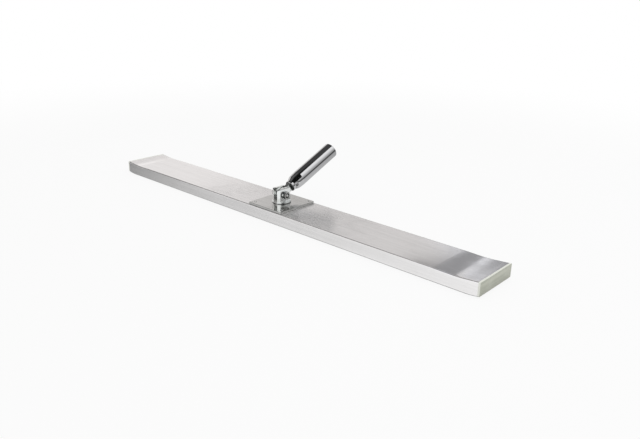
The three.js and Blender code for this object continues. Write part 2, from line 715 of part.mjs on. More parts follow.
const spreader = new THREE.Group();
const cap = endCap();
spreader.add(
  namedMesh("blade_profile", bladeProfile(), materials.brushedAluminium),
  namedMesh("end_cap_right", cap, materials.capPlastic),
  namedMesh("end_cap_left", cap.rotate([0, 0, 180]), materials.capPlastic),
  namedMesh("mount_plate", mountPlate(), materials.plateSteel),
  namedMesh("friction_disc", frictionDisc(), materials.darkNylon),
  namedMesh("swivel_washer", swivelWasher(), materials.zincPlate),
  namedMesh("swivel_nut", swivelNut(), materials.zincPlate),
  namedMesh("joint_fork", jointFork(), materials.zincPlate),
  namedMesh("tilt_bolt", tiltBolt(), materials.zincPlate),
  namedMesh("bolt_washer", boltWasher(earOuter), materials.zincPlate),
  namedMesh("nut_washer", boltWasher(nutSeat), materials.zincPlate),
  namedMesh("lock_nut", lockNut(), materials.zincPlate),
  namedMesh("nylon_ring", nylonRing(), materials.darkNylon),
  namedMesh("thrust_washer_right", thrustWasher(1), materials.darkNylon),
  namedMesh("thrust_washer_left", thrustWasher(-1), materials.darkNylon),
);
rivetPlaces.forEach((place, i) => {
  spreader.add(namedMesh(`plate_rivet_${i + 1}`, plateRivet(place), materials.brushedAluminium));
});

// The socket's arm swings about the tilt bolt; its own +Z is the handle's line
const arm = new THREE.Group();
arm.position.set(0, 0, pivotHeight);
arm.rotation.x = THREE.MathUtils.degToRad(REST_TILT_DEGREES - 90);
arm.add(
  namedMesh("hinge_eye", hingeEye(), materials.zincPlate),
  namedMesh("socket_tube", socketTube(), materials.chrome),
);
spreader.add(arm);

export default spreader;
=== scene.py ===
from math import cos, pi, radians, sin, tan

import bmesh
import bpy
from mathutils import Matrix, Vector


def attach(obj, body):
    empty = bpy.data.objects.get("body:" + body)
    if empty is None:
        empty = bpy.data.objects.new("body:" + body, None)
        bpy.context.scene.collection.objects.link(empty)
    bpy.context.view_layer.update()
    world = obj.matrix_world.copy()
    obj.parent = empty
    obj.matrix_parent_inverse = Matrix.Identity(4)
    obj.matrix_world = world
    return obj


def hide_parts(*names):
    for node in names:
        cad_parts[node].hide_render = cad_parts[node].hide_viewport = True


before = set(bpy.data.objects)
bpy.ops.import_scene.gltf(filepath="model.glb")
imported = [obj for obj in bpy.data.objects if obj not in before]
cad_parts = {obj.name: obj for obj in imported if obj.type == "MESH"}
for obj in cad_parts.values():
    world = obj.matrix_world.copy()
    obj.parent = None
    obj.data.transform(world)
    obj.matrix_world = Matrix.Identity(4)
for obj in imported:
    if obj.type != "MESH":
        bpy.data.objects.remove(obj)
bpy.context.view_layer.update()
scene = bpy.context.scene
scene.view_settings.view_transform = "Standard"
MM = 0.001

# Camera: to the right of the blade and above it, turned a little about its own line of sight,
# so the blade runs from the upper left to the lower right of the picture.
AZIMUTH = radians(42.14)
ELEVATION = radians(20.55)
ROLL = radians(0.87)
DISTANCE = 1.66587
ACROSS = 0.0976
UPWARDS = -0.01201
LENS = 36.82
SENSOR = 36

back = Vector((sin(AZIMUTH) * cos(ELEVATION), -cos(AZIMUTH) * cos(ELEVATION), sin(ELEVATION)))
level = Vector((cos(AZIMUTH), sin(AZIMUTH), 0))
upright = back.cross(level)
right = cos(ROLL) * level + sin(ROLL) * upright
up = cos(ROLL) * upright - sin(ROLL) * level
bpy.ops.object.camera_add()
camera = bpy.context.object
camera.name = "studio_camera"
camera.matrix_world = Matrix.Translation(
    ACROSS * right + UPWARDS * up + DISTANCE * back
) @ Matrix((right, up, back)).transposed().to_4x4()
camera.data.lens = LENS
camera.data.sensor_width = SENSOR
camera.data.clip_start = 0.01
scene.camera = camera


# Studio: a pale floor, a white card behind the blade on the left, a wide soft box high on the
# right, a lit front behind the camera and a dim room above. The camera sees the floor and backdrop
# white, and polished metal sees the others as its light and dark bands.
def add_node(tree, kind, inputs=None, **settings):
    node = tree.nodes.new(kind)
    for name, value in settings.items():
        setattr(node, name, value)
    for socket, value in (inputs or {}).items():
        if isinstance(value, bpy.types.NodeSocket):
            tree.links.new(value, node.inputs[socket])
        else:
            node.inputs[socket].default_value = value
    return node


def calc(tree, operation, first, second=0.0, third=0.0):
    inputs = {0: first, 1: second, 2: third}
    return add_node(tree, "ShaderNodeMath", inputs, operation=operation).outputs[0]


def product(tree, value, *others):
    for other in others:
        value = calc(tree, "MULTIPLY", value, other)
    return value


def split(tree, vector):
    """The X, Y and Z of a vector"""
    return add_node(tree, "ShaderNodeSeparateXYZ", {0: vector}).outputs


def graded(tree, value, low, high, start, end):
    """Goes softly from the start to the end level as a value goes from low to high"""
    inputs = {"Value": value, "From Min": low, "From Max": high, "To Min": start, "To Max": end}
    return add_node(tree, "ShaderNodeMapRange", inputs, interpolation_type="SMOOTHSTEP").outputs[0]


def blend(tree, share, first, second):
    return add_node(tree, "ShaderNodeMix", {"Factor": share, "A": first, "B": second}).outputs["Result"]


def tint(tree, share, first, second):
    """Goes from a first colour to a second one by a share"""
    return add_node(tree, "ShaderNodeMix", {0: share, 6: first, 7: second}, data_type="RGBA").outputs[2]


def rays(tree):
    """Whether a ray comes from the camera, and whether it comes off polished metal"""
    path = add_node(tree, "ShaderNodeLightPath").outputs
    return path["Is Camera Ray"], calc(tree, "MAXIMUM", path["Is Glossy Ray"], path["Is Transmission Ray"])


# How bright each part of the studio looks, 1 being as bright as the white backdrop
DIFFUSE_LEVEL = 0.78
CARD_LEFT_LEVEL = 0.86
CARD_MIDDLE_LEVEL = 0.675
CARD_RIGHT_LEVEL = 0.76
CARD_STRIPE_LEVEL = 1.0
CARD_FAR_END_LEVEL = 0.74
CEILING_LEVEL = 0.075
CEILING_LAMP_LEVEL = 0.7
WALL_LOW_LEVEL = 0.265
WALL_LEVEL = 0.197
BOX_FOOT_LEVEL = 0.095
BOX_LOW_LEVEL = 0.42
BOX_HIGH_LEVEL = 1.25
DARK_LEVEL = 0.008
ROOM_LEVEL = 0.18
FRONT_LEVEL = 1.0
FRONT_LAMP_LEVEL = 1.38
FRONT_LEFT_LEVEL = 0.16
WARM = (1.0, 0.973, 0.963, 1)
COOL = (0.98, 0.99, 1.04, 1)
NEUTRAL = (1, 1, 1, 1)

studio = bpy.data.worlds.new("studio")
scene.world = studio
studio.use_nodes = True
tree = studio.node_tree
tree.nodes.clear()
direction = add_node(tree, "ShaderNodeTexCoord").outputs["Generated"]
east, north, height = split(tree, direction)

card_level = blend(tree, graded(tree, east, -0.77, -0.59, 0, 1), CARD_LEFT_LEVEL, CARD_MIDDLE_LEVEL)
card_level = blend(tree, graded(tree, east, -0.52, -0.45, 0, 1), card_level, CARD_RIGHT_LEVEL)
stripe = product(
    tree, graded(tree, height, 0.3, 0.32, 0, 1), graded(tree, height, 0.36, 0.385, 1, 0),
    graded(tree, east, -0.775, -0.755, 1, 0))
card_level = blend(tree, stripe, card_level, CARD_STRIPE_LEVEL)
far_end = product(tree, graded(tree, height, 0.385, 0.4, 0, 1), graded(tree, east, -0.74, -0.7, 1, 0))
card_level = blend(tree, far_end, card_level, CARD_FAR_END_LEVEL)
left_top = calc(tree, "MULTIPLY_ADD", east, -0.7, 0.054)
right_top = calc(tree, "MULTIPLY_ADD", east, -0.25, 0.278)
card_top = calc(tree, "MINIMUM", calc(tree, "MAXIMUM", left_top, right_top), 0.46)
above_card = calc(tree, "SUBTRACT", height, card_top)
lit_east = product(tree, graded(tree, east, -0.7, -0.5, 0, 1), graded(tree, east, -0.42, -0.34, 1, 0))
lit_north = calc(tree, "ADD", graded(tree, north, 0.28, 0.36, 0, 1), graded(tree, north, -0.6, -0.52, 1, 0))
ceiling = blend(tree, product(tree, lit_east, lit_north), CEILING_LEVEL, CEILING_LAMP_LEVEL)
wall = graded(tree, above_card, 0, 0.035, WALL_LOW_LEVEL, WALL_LEVEL)
wall = blend(tree, graded(tree, above_card, 0.04, 0.2, 0, 1), wall, ceiling)
over_front_edge = product(tree, graded(tree, north, 0.02, 0.14, 1, 0), graded(tree, east, -0.28, -0.2, 1, 0))
wall = blend(tree, over_front_edge, wall, graded(tree, east, -0.8, -0.72, 0.01, 0.15))
card = blend(tree, graded(tree, above_card, -0.008, 0.008, 0, 1), card_level, wall)
card_foot = calc(
    tree, "MINIMUM", graded(tree, east, -0.62, -0.5, 0, 0.33), calc(tree, "MULTIPLY_ADD", east, -0.5, 0.11))
over_foot = calc(tree, "SUBTRACT", height, card_foot)
room = blend(tree, graded(tree, over_foot, -0.014, 0.01, 0, 1), ROOM_LEVEL, card)

box_side = calc(tree, "MULTIPLY_ADD", height, -0.3, east)
box_level = blend(tree, graded(tree, height, 0.2, 0.95, 0, 1), BOX_LOW_LEVEL, BOX_HIGH_LEVEL)
box_level = blend(tree, graded(tree, height, 0.16, 0.28, 0, 1), BOX_FOOT_LEVEL, box_level)
room = blend(tree, graded(tree, box_side, -0.04, 0.04, 0, 1), room, box_level)
dark_end = calc(tree, "MULTIPLY_ADD", height, -0.25, north)
to_the_right = calc(tree, "MAXIMUM", calc(tree, "SUBTRACT", east, 0.4), 0.0)
dark_end = calc(tree, "MULTIPLY_ADD", to_the_right, -0.4, dark_end)
dark_foot = calc(tree, "MULTIPLY_ADD", north, -0.45, height)
dark_share = product(
    tree, graded(tree, dark_end, -0.11, -0.07, 1, 0), graded(tree, east, -0.2, 0, 0, 1),
    graded(tree, dark_foot, 0.4, 0.46, 0, 1), graded(tree, height, 0.25, 0.3, 0, 1))
straight_front = graded(tree, north, -0.7, -0.65, 1, 0)
dark_share = blend(tree, straight_front, dark_share, 0.0)
room = blend(tree, dark_share, room, DARK_LEVEL)
front_side = graded(tree, north, -0.45, -0.2, 1, 0)
front_high = blend(tree, straight_front, graded(tree, east, 0, 0.3, 0.45, 0.1), 0.5)
over_front = calc(tree, "SUBTRACT", height, front_high)
front_top = graded(tree, over_front, 0, 0.14, 1, 0)
front_level = graded(tree, east, -0.8, -0.66, FRONT_LEFT_LEVEL, FRONT_LEVEL)
front_level = product(tree, front_level, graded(tree, east, 0.6, 0.85, 1, 0.55))
front_lamp = product(tree, graded(tree, north, -0.86, -0.78, 1, 0), graded(tree, height, 0.05, 0.15, 0, 1))
front_level = blend(tree, front_lamp, front_level, FRONT_LAMP_LEVEL)
mirrored = blend(tree, product(tree, front_side, front_top), room, front_level)
hue = tint(tree, graded(tree, east, -0.4, -0.3, 0, 1), COOL, NEUTRAL)
warm_edge = calc(tree, "SUBTRACT", east, graded(tree, height, 0.35, 0.38, 0, 0.045))
hue = tint(tree, graded(tree, warm_edge, -0.53, -0.48, 1, 0), hue, WARM)
mirrored = add_node(tree, "ShaderNodeVectorMath", {0: hue, "Scale": mirrored}, operation="SCALE").outputs[0]

camera_ray, shiny_ray = rays(tree)
seen = tint(tree, shiny_ray, (DIFFUSE_LEVEL, DIFFUSE_LEVEL, DIFFUSE_LEVEL, 1), mirrored)
seen = tint(tree, camera_ray, seen, NEUTRAL)
background = add_node(tree, "ShaderNodeBackground", {"Color": seen, "Strength": 1.0})
add_node(tree, "ShaderNodeOutputWorld", {"Surface": background.outputs[0]})

FLOOR_SIZE = 80
FLOOR_COLOUR = (0.8, 0.8, 0.8, 1)
FLOOR_WHITE_SHARE = 0.88
# How dark the painted shadow under the blade looks to shiny rays
PAINTED_SHADOW_UNDER_BLADE_LEVEL = 0.3
bpy.ops.object.select_all(action="DESELECT")
bpy.ops.mesh.primitive_plane_add(size=FLOOR_SIZE)
floor = bpy.context.object
floor.name = "studio_floor"
floor_paint = bpy.data.materials.new("studio floor")
floor_paint.use_nodes = True
tree = floor_paint.node_tree
tree.nodes.clear()
place = add_node(tree, "ShaderNodeTexCoord").outputs["Object"]
floor_x, floor_y, _ = split(tree, place)
from_middle = add_node(tree, "ShaderNodeVectorMath", {0: place}, operation="LENGTH").outputs["Value"]
camera_ray, shiny_ray = rays(tree)
camera_share = product(tree, camera_ray, graded(tree, from_middle, 1.0, 2.5, FLOOR_WHITE_SHARE, 1.0))
# Painted light: to shiny rays the floor glows as a painted fall-off of the studio light. It is brighter to
# the right, dimmer to the left and towards the back, and white again far to the left and in front.
left_slope = calc(tree, "MULTIPLY_ADD", floor_x, 0.906, 0.874)
right_slope = calc(tree, "MULTIPLY_ADD", floor_x, 0.45, 0.72)
shiny_level = calc(tree, "MINIMUM", calc(tree, "MINIMUM", left_slope, right_slope), 1.0)
shiny_level = product(
    tree, shiny_level, graded(tree, floor_y, 0.05, 0.55, 1, 0.65), graded(tree, floor_y, 0.5, 0.9, 1, 0.68),
    graded(tree, floor_y, 0.9, 2.0, 1, 0.3))
far_left = graded(tree, floor_x, -1.2, -0.85, 0.85, 0)
shiny_level = calc(tree, "MAXIMUM", shiny_level, far_left)
shiny_level = blend(tree, graded(tree, floor_y, -0.15, -0.13, 1, 0), shiny_level, 1.0)
# Painted shadow: shiny rays see the floor dark just under the blade, as the blade's contact shadow
painted_shadow_under_blade = graded(tree, calc(tree, "ABSOLUTE", floor_y), 0.0615, 0.0685, 1, 0)
shiny_level = blend(tree, painted_shadow_under_blade, shiny_level, PAINTED_SHADOW_UNDER_BLADE_LEVEL)
white_level = blend(tree, shiny_ray, 1.0, shiny_level)
matt = add_node(tree, "ShaderNodeBsdfDiffuse", {"Color": FLOOR_COLOUR})
white = add_node(tree, "ShaderNodeEmission", {"Color": white_level, "Strength": 1.0})
white_share = calc(tree, "MAXIMUM", camera_share, shiny_ray)
mixed = add_node(tree, "ShaderNodeMixShader", {0: white_share, 1: matt.outputs[0], 2: white.outputs[0]})
add_node(tree, "ShaderNodeOutputMaterial", {"Surface": mixed.outputs[0]})
floor.data.materials.append(floor_paint)

LAMP_PLACE = (2.2, 0.4, 2.6)
LAMP_LENGTH = 3.0
LAMP_DEPTH = 3.0
LAMP_LEVEL = 0.8
bpy.ops.object.light_add(type="AREA", location=LAMP_PLACE)
lamp = bpy.context.object
lamp.name = "soft_box"
lamp.data.shape = "RECTANGLE"
lamp.data.size = LAMP_LENGTH
lamp.data.size_y = LAMP_DEPTH
lamp.data.energy = LAMP_LEVEL * pi * LAMP_LENGTH * LAMP_DEPTH
lamp.visible_glossy = False


# Blade: one aluminium extrusion with three chambers, sawn to length and brushed along it.
# Both ends are pressed, so the sole rises like a runner and the top dips and rises again.
# It is drilled for the rivets of the mounting plate, and its top is open under the swivel.
BLADE_LENGTH = 1200
BLADE_WIDTH = 125
BLADE_HEIGHT = 31
BLADE_WALL = 2
BLADE_CORNER_RADIUS = 2.5
WEB_THICKNESS = 2
MIDDLE_CHAMBER_WIDTH = 42
CHAMBER_CORNER_RADIUS = 1
CAP_THICKNESS = 5

RUNNER_LENGTH = 36
RUNNER_RISE = 3.6
RUNNER_CURVE_SHARE = 2
DIP_FROM_END = 62
DIP_HALF_LENGTH = 50
DIP_DEPTH = 0.8
TIP_RISE = 3.6
TIP_CURVE_SHARE = 1.8
FORMED_LENGTH = DIP_FROM_END + DIP_HALF_LENGTH
FORMED_ROW_SPACING = 2

ACCESS_HOLE_RADIUS = 15
RIVET_HOLE_RADIUS = 3.4
RIVET_X = 46.5
RIVET_Y = 49
CUT_OVERRUN = 2
CORNER_STEPS = 6
SMOOTH_ANGLE = radians(32)


def pick_only(piece):
    bpy.ops.object.select_all(action="DESELECT")
    piece.select_set(True)
    bpy.context.view_layer.objects.active = piece


def settle():
    """Makes the place, turn and size of the picked piece part of its mesh"""
    bpy.ops.object.transform_apply(location=True, rotation=True, scale=True)


def block(name, low, high):
    bpy.ops.object.select_all(action="DESELECT")
    low, high = Vector(low) * MM, Vector(high) * MM
    bpy.ops.mesh.primitive_cube_add(size=1, location=(low + high) / 2, scale=high - low)
    settle()
    bpy.context.object.name = name
    return bpy.context.object


def rod(name, radius, low, high, x=0, y=0, steps=96):
    bpy.ops.object.select_all(action="DESELECT")
    bpy.ops.mesh.primitive_cylinder_add(
        vertices=steps, radius=radius * MM, depth=(high - low) * MM,
        location=(x * MM, y * MM, (low + high) / 2 * MM))
    settle()
    bpy.context.object.name = name
    return bpy.context.object


def open_up(piece):
    pick_only(piece)
    bpy.ops.object.mode_set(mode="EDIT")


def close_up():
    bpy.ops.object.mode_set(mode="OBJECT")


def pick_edges(test):
    """Selects only the edges whose two ends, in millimetres, pass a test"""
    bpy.ops.mesh.select_mode(type="EDGE")
    bpy.ops.mesh.select_all(action="DESELECT")
    mesh = bmesh.from_edit_mesh(bpy.context.object.data)
    for edge in mesh.edges:
        first, second = (point.co / MM for point in edge.verts)
        edge.select_set(test(first, second))
    bmesh.update_edit_mesh(bpy.context.object.data)


def pick_faces(test):
    """Selects only the faces whose middle, in millimetres, and normal pass a test"""
    bpy.ops.mesh.select_mode(type="FACE")
    bpy.ops.mesh.select_all(action="DESELECT")
    mesh = bmesh.from_edit_mesh(bpy.context.object.data)
    for face in mesh.faces:
        face.select_set(test(face.calc_center_median() / MM, face.normal))
    bmesh.update_edit_mesh(bpy.context.object.data)


def round_edges(radius, steps, test):
    pick_edges(test)
    bpy.ops.mesh.bevel(offset=radius * MM, segments=steps, profile=0.5, clamp_overlap=True)


def along_blade(first, second):
    return abs(first.x - second.x) > 1


def slice_at(place):
    """Cuts a row of points across the open piece, so that it can bend there"""
    bpy.ops.mesh.select_all(action="SELECT")
    bpy.ops.mesh.bisect(plane_co=(place * MM, 0, 0), plane_no=(1, 0, 0), threshold=1e-7)


def shape_with(piece, tool, how="DIFFERENCE"):
    """Cuts a piece with a tool, joins the tool to it, or keeps what they share"""
    bpy.context.view_layer.objects.active = piece
    modifier = piece.modifiers.new(how.lower(), "BOOLEAN")
    modifier.operation = how
    modifier.solver = "EXACT"
    modifier.object = tool
    bpy.ops.object.modifier_apply(modifier=modifier.name)
    bpy.data.objects.remove(tool)


def sole_height(from_end):
    return RUNNER_RISE * max(0, 1 - from_end / RUNNER_LENGTH) ** RUNNER_CURVE_SHARE


def top_height(from_end):
    along_dip = min(1, abs(from_end - DIP_FROM_END) / DIP_HALF_LENGTH)
    rise = TIP_RISE * max(0, 1 - from_end / DIP_FROM_END) ** TIP_CURVE_SHARE
    return BLADE_HEIGHT + rise - DIP_DEPTH * cos(along_dip * pi / 2) ** 2


def press_ends(piece):
    """Lifts each row of points across the blade, above and below, to the pressed shape"""
    open_up(piece)
    bpy.ops.mesh.select_mode(type="VERT")
    rows = {}
    for point in bmesh.from_edit_mesh(piece.data).verts:
        upper = point.co.z > BLADE_HEIGHT / 2 * MM
        rows.setdefault((round(point.co.x / MM, 2), upper), []).append(point.index)
    for (place, upper), indices in sorted(rows.items()):
        from_end = BLADE_LENGTH / 2 - abs(place)
        lift = top_height(from_end) - BLADE_HEIGHT if upper else sole_height(from_end)
        if abs(lift) > 1e-6:
            bpy.ops.mesh.select_all(action="DESELECT")
            mesh = bmesh.from_edit_mesh(piece.data)
            mesh.verts.ensure_lookup_table()
            for index in indices:
                mesh.verts[index].select_set(True)
            bmesh.update_edit_mesh(piece.data)
            bpy.ops.transform.translate(value=(0, 0, lift * MM))
    close_up()


def complete(piece, finish, body, node):
    """Smooth shading with flat faces kept flat, then material and body, and the CAD node hidden"""
    pick_only(piece)
    bpy.ops.object.shade_smooth_by_angle(angle=SMOOTH_ANGLE)
    modifier = piece.modifiers.new("flat faces", "WEIGHTED_NORMAL")
    modifier.keep_sharp = True
    bpy.ops.object.modifier_apply(modifier=modifier.name)
    piece.data.materials.clear()
    piece.data.materials.append(finish)
    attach(piece, body)
    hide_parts(node)


FLOAT = "NodeSocketFloat"
VECTOR = "NodeSocketVector"
PLACE = ("Place", VECTOR, (0, 0, 0))


def effect(name, inputs, outputs):
    """An effect that several finishes share: a node group with its own sockets"""
    group = bpy.data.node_groups.new(name, "ShaderNodeTree")
    for label, kind, value in inputs:
        group.interface.new_socket(name=label, in_out="INPUT", socket_type=kind).default_value = value
    for label in outputs:
        group.interface.new_socket(name=label, in_out="OUTPUT", socket_type=FLOAT)
    return group, group.nodes.new("NodeGroupInput").outputs, group.nodes.new("NodeGroupOutput").inputs


def use(tree, group, place, amounts={}):
    return add_node(tree, "ShaderNodeGroup", {"Place": place, **amounts}, node_tree=group).outputs


def noise(tree, place, per_metre, detail=3.0, roughness=0.5, distortion=0.0):
    inputs = {
        "Vector": place, "Scale": per_metre, "Detail": detail, "Roughness": roughness,
        "Distortion": distortion}
    return add_node(tree, "ShaderNodeTexNoise", inputs).outputs[0]


def stretched(tree, place, amounts):
    return add_node(tree, "ShaderNodeVectorMath", {0: place, 1: amounts}, operation="MULTIPLY").outputs[0]


brush_marks, given, result = effect(
    "brush marks", [PLACE, ("Per metre", VECTOR, (10, 1000, 1000))], ["Lines", "Bands"])
fine = stretched(brush_marks, given["Place"], given["Per metre"])
wide = stretched(brush_marks, fine, (0.4, 0.15, 0.15))
brush_marks.links.new(noise(brush_marks, fine, 1.0, 4.0), result["Lines"])
brush_marks.links.new(noise(brush_marks, wide, 1.0, 2.0), result["Bands"])

worn_edges, given, result = effect(
    "worn edges", [PLACE, ("Width", FLOAT, 0.001), ("Chips per metre", FLOAT, 300.0)], ["Wear"])
softer = add_node(worn_edges, "ShaderNodeBevel", {"Radius": given["Width"]}, samples=6).outputs[0]
facing = add_node(worn_edges, "ShaderNodeNewGeometry").outputs["Normal"]
agreement = add_node(
    worn_edges, "ShaderNodeVectorMath", {0: softer, 1: facing}, operation="DOT_PRODUCT").outputs["Value"]
edge = graded(worn_edges, agreement, 0.86, 0.995, 1, 0)
chips = graded(worn_edges, noise(worn_edges, given["Place"], given["Chips per metre"]), 0.35, 0.6, 0.3, 1)
worn_edges.links.new(calc(worn_edges, "MULTIPLY", edge, chips), result["Wear"])

smears, given, result = effect("smears", [PLACE, ("Per metre", FLOAT, 12.0)], ["Smears"])
cloud = noise(smears, given["Place"], given["Per metre"], 5.0, 0.6, 1.2)
smears.links.new(graded(smears, cloud, 0.45, 0.75, 0, 1), result["Smears"])


def surface(name, metallic=1.0):
    """A new finish, its node tree, its shader, and the place on the piece"""
    finish = bpy.data.materials.new(name)
    finish.use_nodes = True
    tree = finish.node_tree
    shader = tree.nodes["Principled BSDF"]
    shader.inputs["Metallic"].default_value = metallic
    return finish, tree, shader, add_node(tree, "ShaderNodeTexCoord").outputs["Object"]


def spread(tree, marks, start, end):
    """Goes from the start to the end level over the range that most of a noise lies in"""
    return graded(tree, marks, 0.3, 0.7, start, end)


def masked_tint(tree, colour, mask, share, mark_colour):
    return tint(tree, calc(tree, "MULTIPLY", mask, share), colour, mark_colour)


def coat(tree, shader, colour, roughness, relief, depth):
    """Gives a finish its colour, its roughness, and a relief that is so many metres deep"""
    bumps = add_node(tree, "ShaderNodeBump", {"Height": relief, "Distance": depth})
    tree.links.new(colour, shader.inputs["Base Color"])
    tree.links.new(roughness, shader.inputs["Roughness"])
    tree.links.new(bumps.outputs[0], shader.inputs["Normal"])


half_length = BLADE_LENGTH / 2 - CAP_THICKNESS
half_width = BLADE_WIDTH / 2
blade = block("blade_extrusion", (-half_length, -half_width, 0), (half_length, half_width, BLADE_HEIGHT))
open_up(blade)
round_edges(BLADE_CORNER_RADIUS, CORNER_STEPS, along_blade)
close_up()

chamber_edge = half_width - BLADE_WALL
middle_edge = MIDDLE_CHAMBER_WIDTH / 2
CHAMBERS = (
    (-chamber_edge, -middle_edge - WEB_THICKNESS),
    (-middle_edge, middle_edge),
    (middle_edge + WEB_THICKNESS, chamber_edge),
)
for left, right_side in CHAMBERS:
    chamber = block(
        "chamber", (-half_length - CUT_OVERRUN, left, BLADE_WALL),
        (half_length + CUT_OVERRUN, right_side, BLADE_HEIGHT - BLADE_WALL))
    open_up(chamber)
    round_edges(CHAMBER_CORNER_RADIUS, 3, along_blade)
    close_up()
    shape_with(blade, chamber)
hole_bottom = BLADE_HEIGHT - BLADE_WALL - CUT_OVERRUN
hole_top = BLADE_HEIGHT + CUT_OVERRUN
shape_with(blade, rod("access", ACCESS_HOLE_RADIUS, hole_bottom, hole_top))
RIVET_PLACES = [(x, y) for x in (-RIVET_X, RIVET_X) for y in (-RIVET_Y, RIVET_Y)]
for x, y in RIVET_PLACES:
    shape_with(blade, rod("drill", RIVET_HOLE_RADIUS, hole_bottom, hole_top, x, y, 32))

open_up(blade)
row = CAP_THICKNESS + FORMED_ROW_SPACING
while row <= FORMED_LENGTH:
    for side in (-1, 1):
        slice_at(side * (BLADE_LENGTH / 2 - row))
    row += FORMED_ROW_SPACING
close_up()
press_ends(blade)


aluminium, tree, shader, place = surface("brushed aluminium", 0.84)
marks = use(tree, brush_marks, place, {"Per metre": (8, 1100, 1100)})
haze = use(tree, smears, place, {"Per metre": 14.0})["Smears"]
wear = use(tree, worn_edges, place, {"Width": 0.0016, "Chips per metre": 220.0})["Wear"]
colour = tint(tree, spread(tree, marks["Bands"], 0, 1), (0.84, 0.83, 0.83, 1), (0.9, 0.89, 0.89, 1))
colour = masked_tint(tree, colour, haze, 0.2, (0.74, 0.73, 0.72, 1))
colour = masked_tint(tree, colour, wear, 0.5, (0.94, 0.94, 0.94, 1))
roughness = calc(tree, "MULTIPLY_ADD", haze, 0.05, spread(tree, marks["Lines"], 0.06, 0.12))
# Hands and the joint's swing leave the middle of the blade duller than its ends
handled = graded(tree, calc(tree, "ABSOLUTE", split(tree, place)[0]), 0.12, 0.4, 0.16, 0)
roughness = calc(tree, "ADD", roughness, handled)
coat(tree, shader, colour, roughness, marks["Lines"], 0.000008)
complete(blade, aluminium, "blade", "blade_profile")


# End caps: moulded grey-green plastic plates, each pushed into the chambers with three
# hollow plugs, its outer rim rounded. The left one is the right one turned round.
CAP_EDGE_RADIUS = 1.5
PLUG_LENGTH = 16
PLUG_WALL = 1.8
PLUG_CLEARANCE = 0.3
PLUG_ROOT = 1.5
PLUG_POCKET_ROOT = 0.2


def turn_round():
    """Gives the picked piece half a turn about the middle of the blade"""
    bpy.ops.transform.rotate(value=pi, orient_axis="Z", center_override=(0, 0, 0))
    settle()


cap_inner = BLADE_LENGTH / 2 - CAP_THICKNESS
cap = block("end_cap_plate_right", (cap_inner, -half_width, 0), (BLADE_LENGTH / 2, half_width, BLADE_HEIGHT))
open_up(cap)
round_edges(BLADE_CORNER_RADIUS, CORNER_STEPS, along_blade)
round_edges(CAP_EDGE_RADIUS, CORNER_STEPS, lambda a, b: min(a.x, b.x) > BLADE_LENGTH / 2 - 0.01)
close_up()
for left, right_side in CHAMBERS:
    inset = PLUG_CLEARANCE
    plug = block(
        "plug", (cap_inner - PLUG_LENGTH, left + inset, BLADE_WALL + inset),
        (cap_inner + PLUG_ROOT, right_side - inset, BLADE_HEIGHT - BLADE_WALL - inset))
    open_up(plug)
    round_edges(CHAMBER_CORNER_RADIUS, 3, along_blade)
    pick_faces(lambda middle, normal: normal.x < -0.99)
    bpy.ops.mesh.inset(thickness=PLUG_WALL * MM, depth=0)
    bpy.ops.mesh.extrude_region_move(
        TRANSFORM_OT_translate={"value": ((PLUG_LENGTH - PLUG_POCKET_ROOT) * MM, 0, 0)})
    for share in (1, 2, 3):
        slice_at(cap_inner - PLUG_LENGTH * share / 4)
    close_up()
    shape_with(cap, plug, "UNION")
press_ends(cap)

cap_plastic, tree, shader, place = surface("cap plastic", 0.0)
facing_x, _, facing_z = split(tree, add_node(tree, "ShaderNodeTexCoord").outputs["Normal"])
# Painted highlight: faces whose normals lie across the blade, the cap's rim and sides, are painted pale
painted_rim_highlight = graded(tree, calc(tree, "ABSOLUTE", facing_x), 0.25, 0.8, 1, 0)
# Painted shade: faces turned downwards are painted dark
painted_underside_shade = graded(tree, facing_z, -0.5, -0.15, 1, 0)
flow = use(tree, brush_marks, place, {"Per metre": (900, 40, 900)})
clouds = use(tree, smears, place, {"Per metre": 45.0})["Smears"]
wear = use(tree, worn_edges, place, {"Width": 0.002, "Chips per metre": 260.0})["Wear"]
colour = tint(tree, spread(tree, flow["Bands"], 0, 1), (0.5, 0.52, 0.44, 1), (0.62, 0.63, 0.54, 1))
colour = masked_tint(tree, colour, clouds, 0.55, (0.68, 0.69, 0.61, 1))
colour = masked_tint(tree, colour, wear, 0.6, (0.8, 0.8, 0.74, 1))
x, y, z = split(tree, place)
# Painted shade: the cap is painted darker towards the bottom and towards its far side
colour = tint(tree, graded(tree, z, 0.003, 0.028, 0.4, 0), colour, (0.38, 0.39, 0.34, 1))
colour = tint(tree, graded(tree, y, -0.04, 0.06, 0, 0.4), colour, (0.4, 0.41, 0.35, 1))
# The painted highlight on the rim and sides
colour = tint(tree, painted_rim_highlight, colour, (0.86, 0.87, 0.8, 1))
# The painted shade on faces turned downwards
colour = tint(tree, painted_underside_shade, colour, (0.36, 0.34, 0.31, 1))
roughness = spread(tree, flow["Lines"], 0.4, 0.6)
coat(tree, shader, colour, roughness, noise(tree, place, 1800.0), 0.00002)
complete(cap, cap_plastic, "blade", "end_cap_right")
bpy.ops.object.duplicate()
left_cap = bpy.context.object
left_cap.name = "end_cap_plate_left"
turn_round()
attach(left_cap, "blade")
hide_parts("end_cap_left")


# Mounting plate: a nearly square piece of fine-brushed steel, its corners and edges rounded,
# bored for the swivel's spigot and countersunk for four rivets that hold it to the blade.
PLATE_LENGTH = 115
PLATE_WIDTH = 120
PLATE_THICKNESS = 5
PLATE_CORNER_RADIUS = 4
PLATE_EDGE_RADIUS = 1.2
SPIGOT_BORE_RADIUS = 6.3
RIVET_SEAT_DEPTH = 2.6
RIVET_SEAT_RADIUS = 6.2

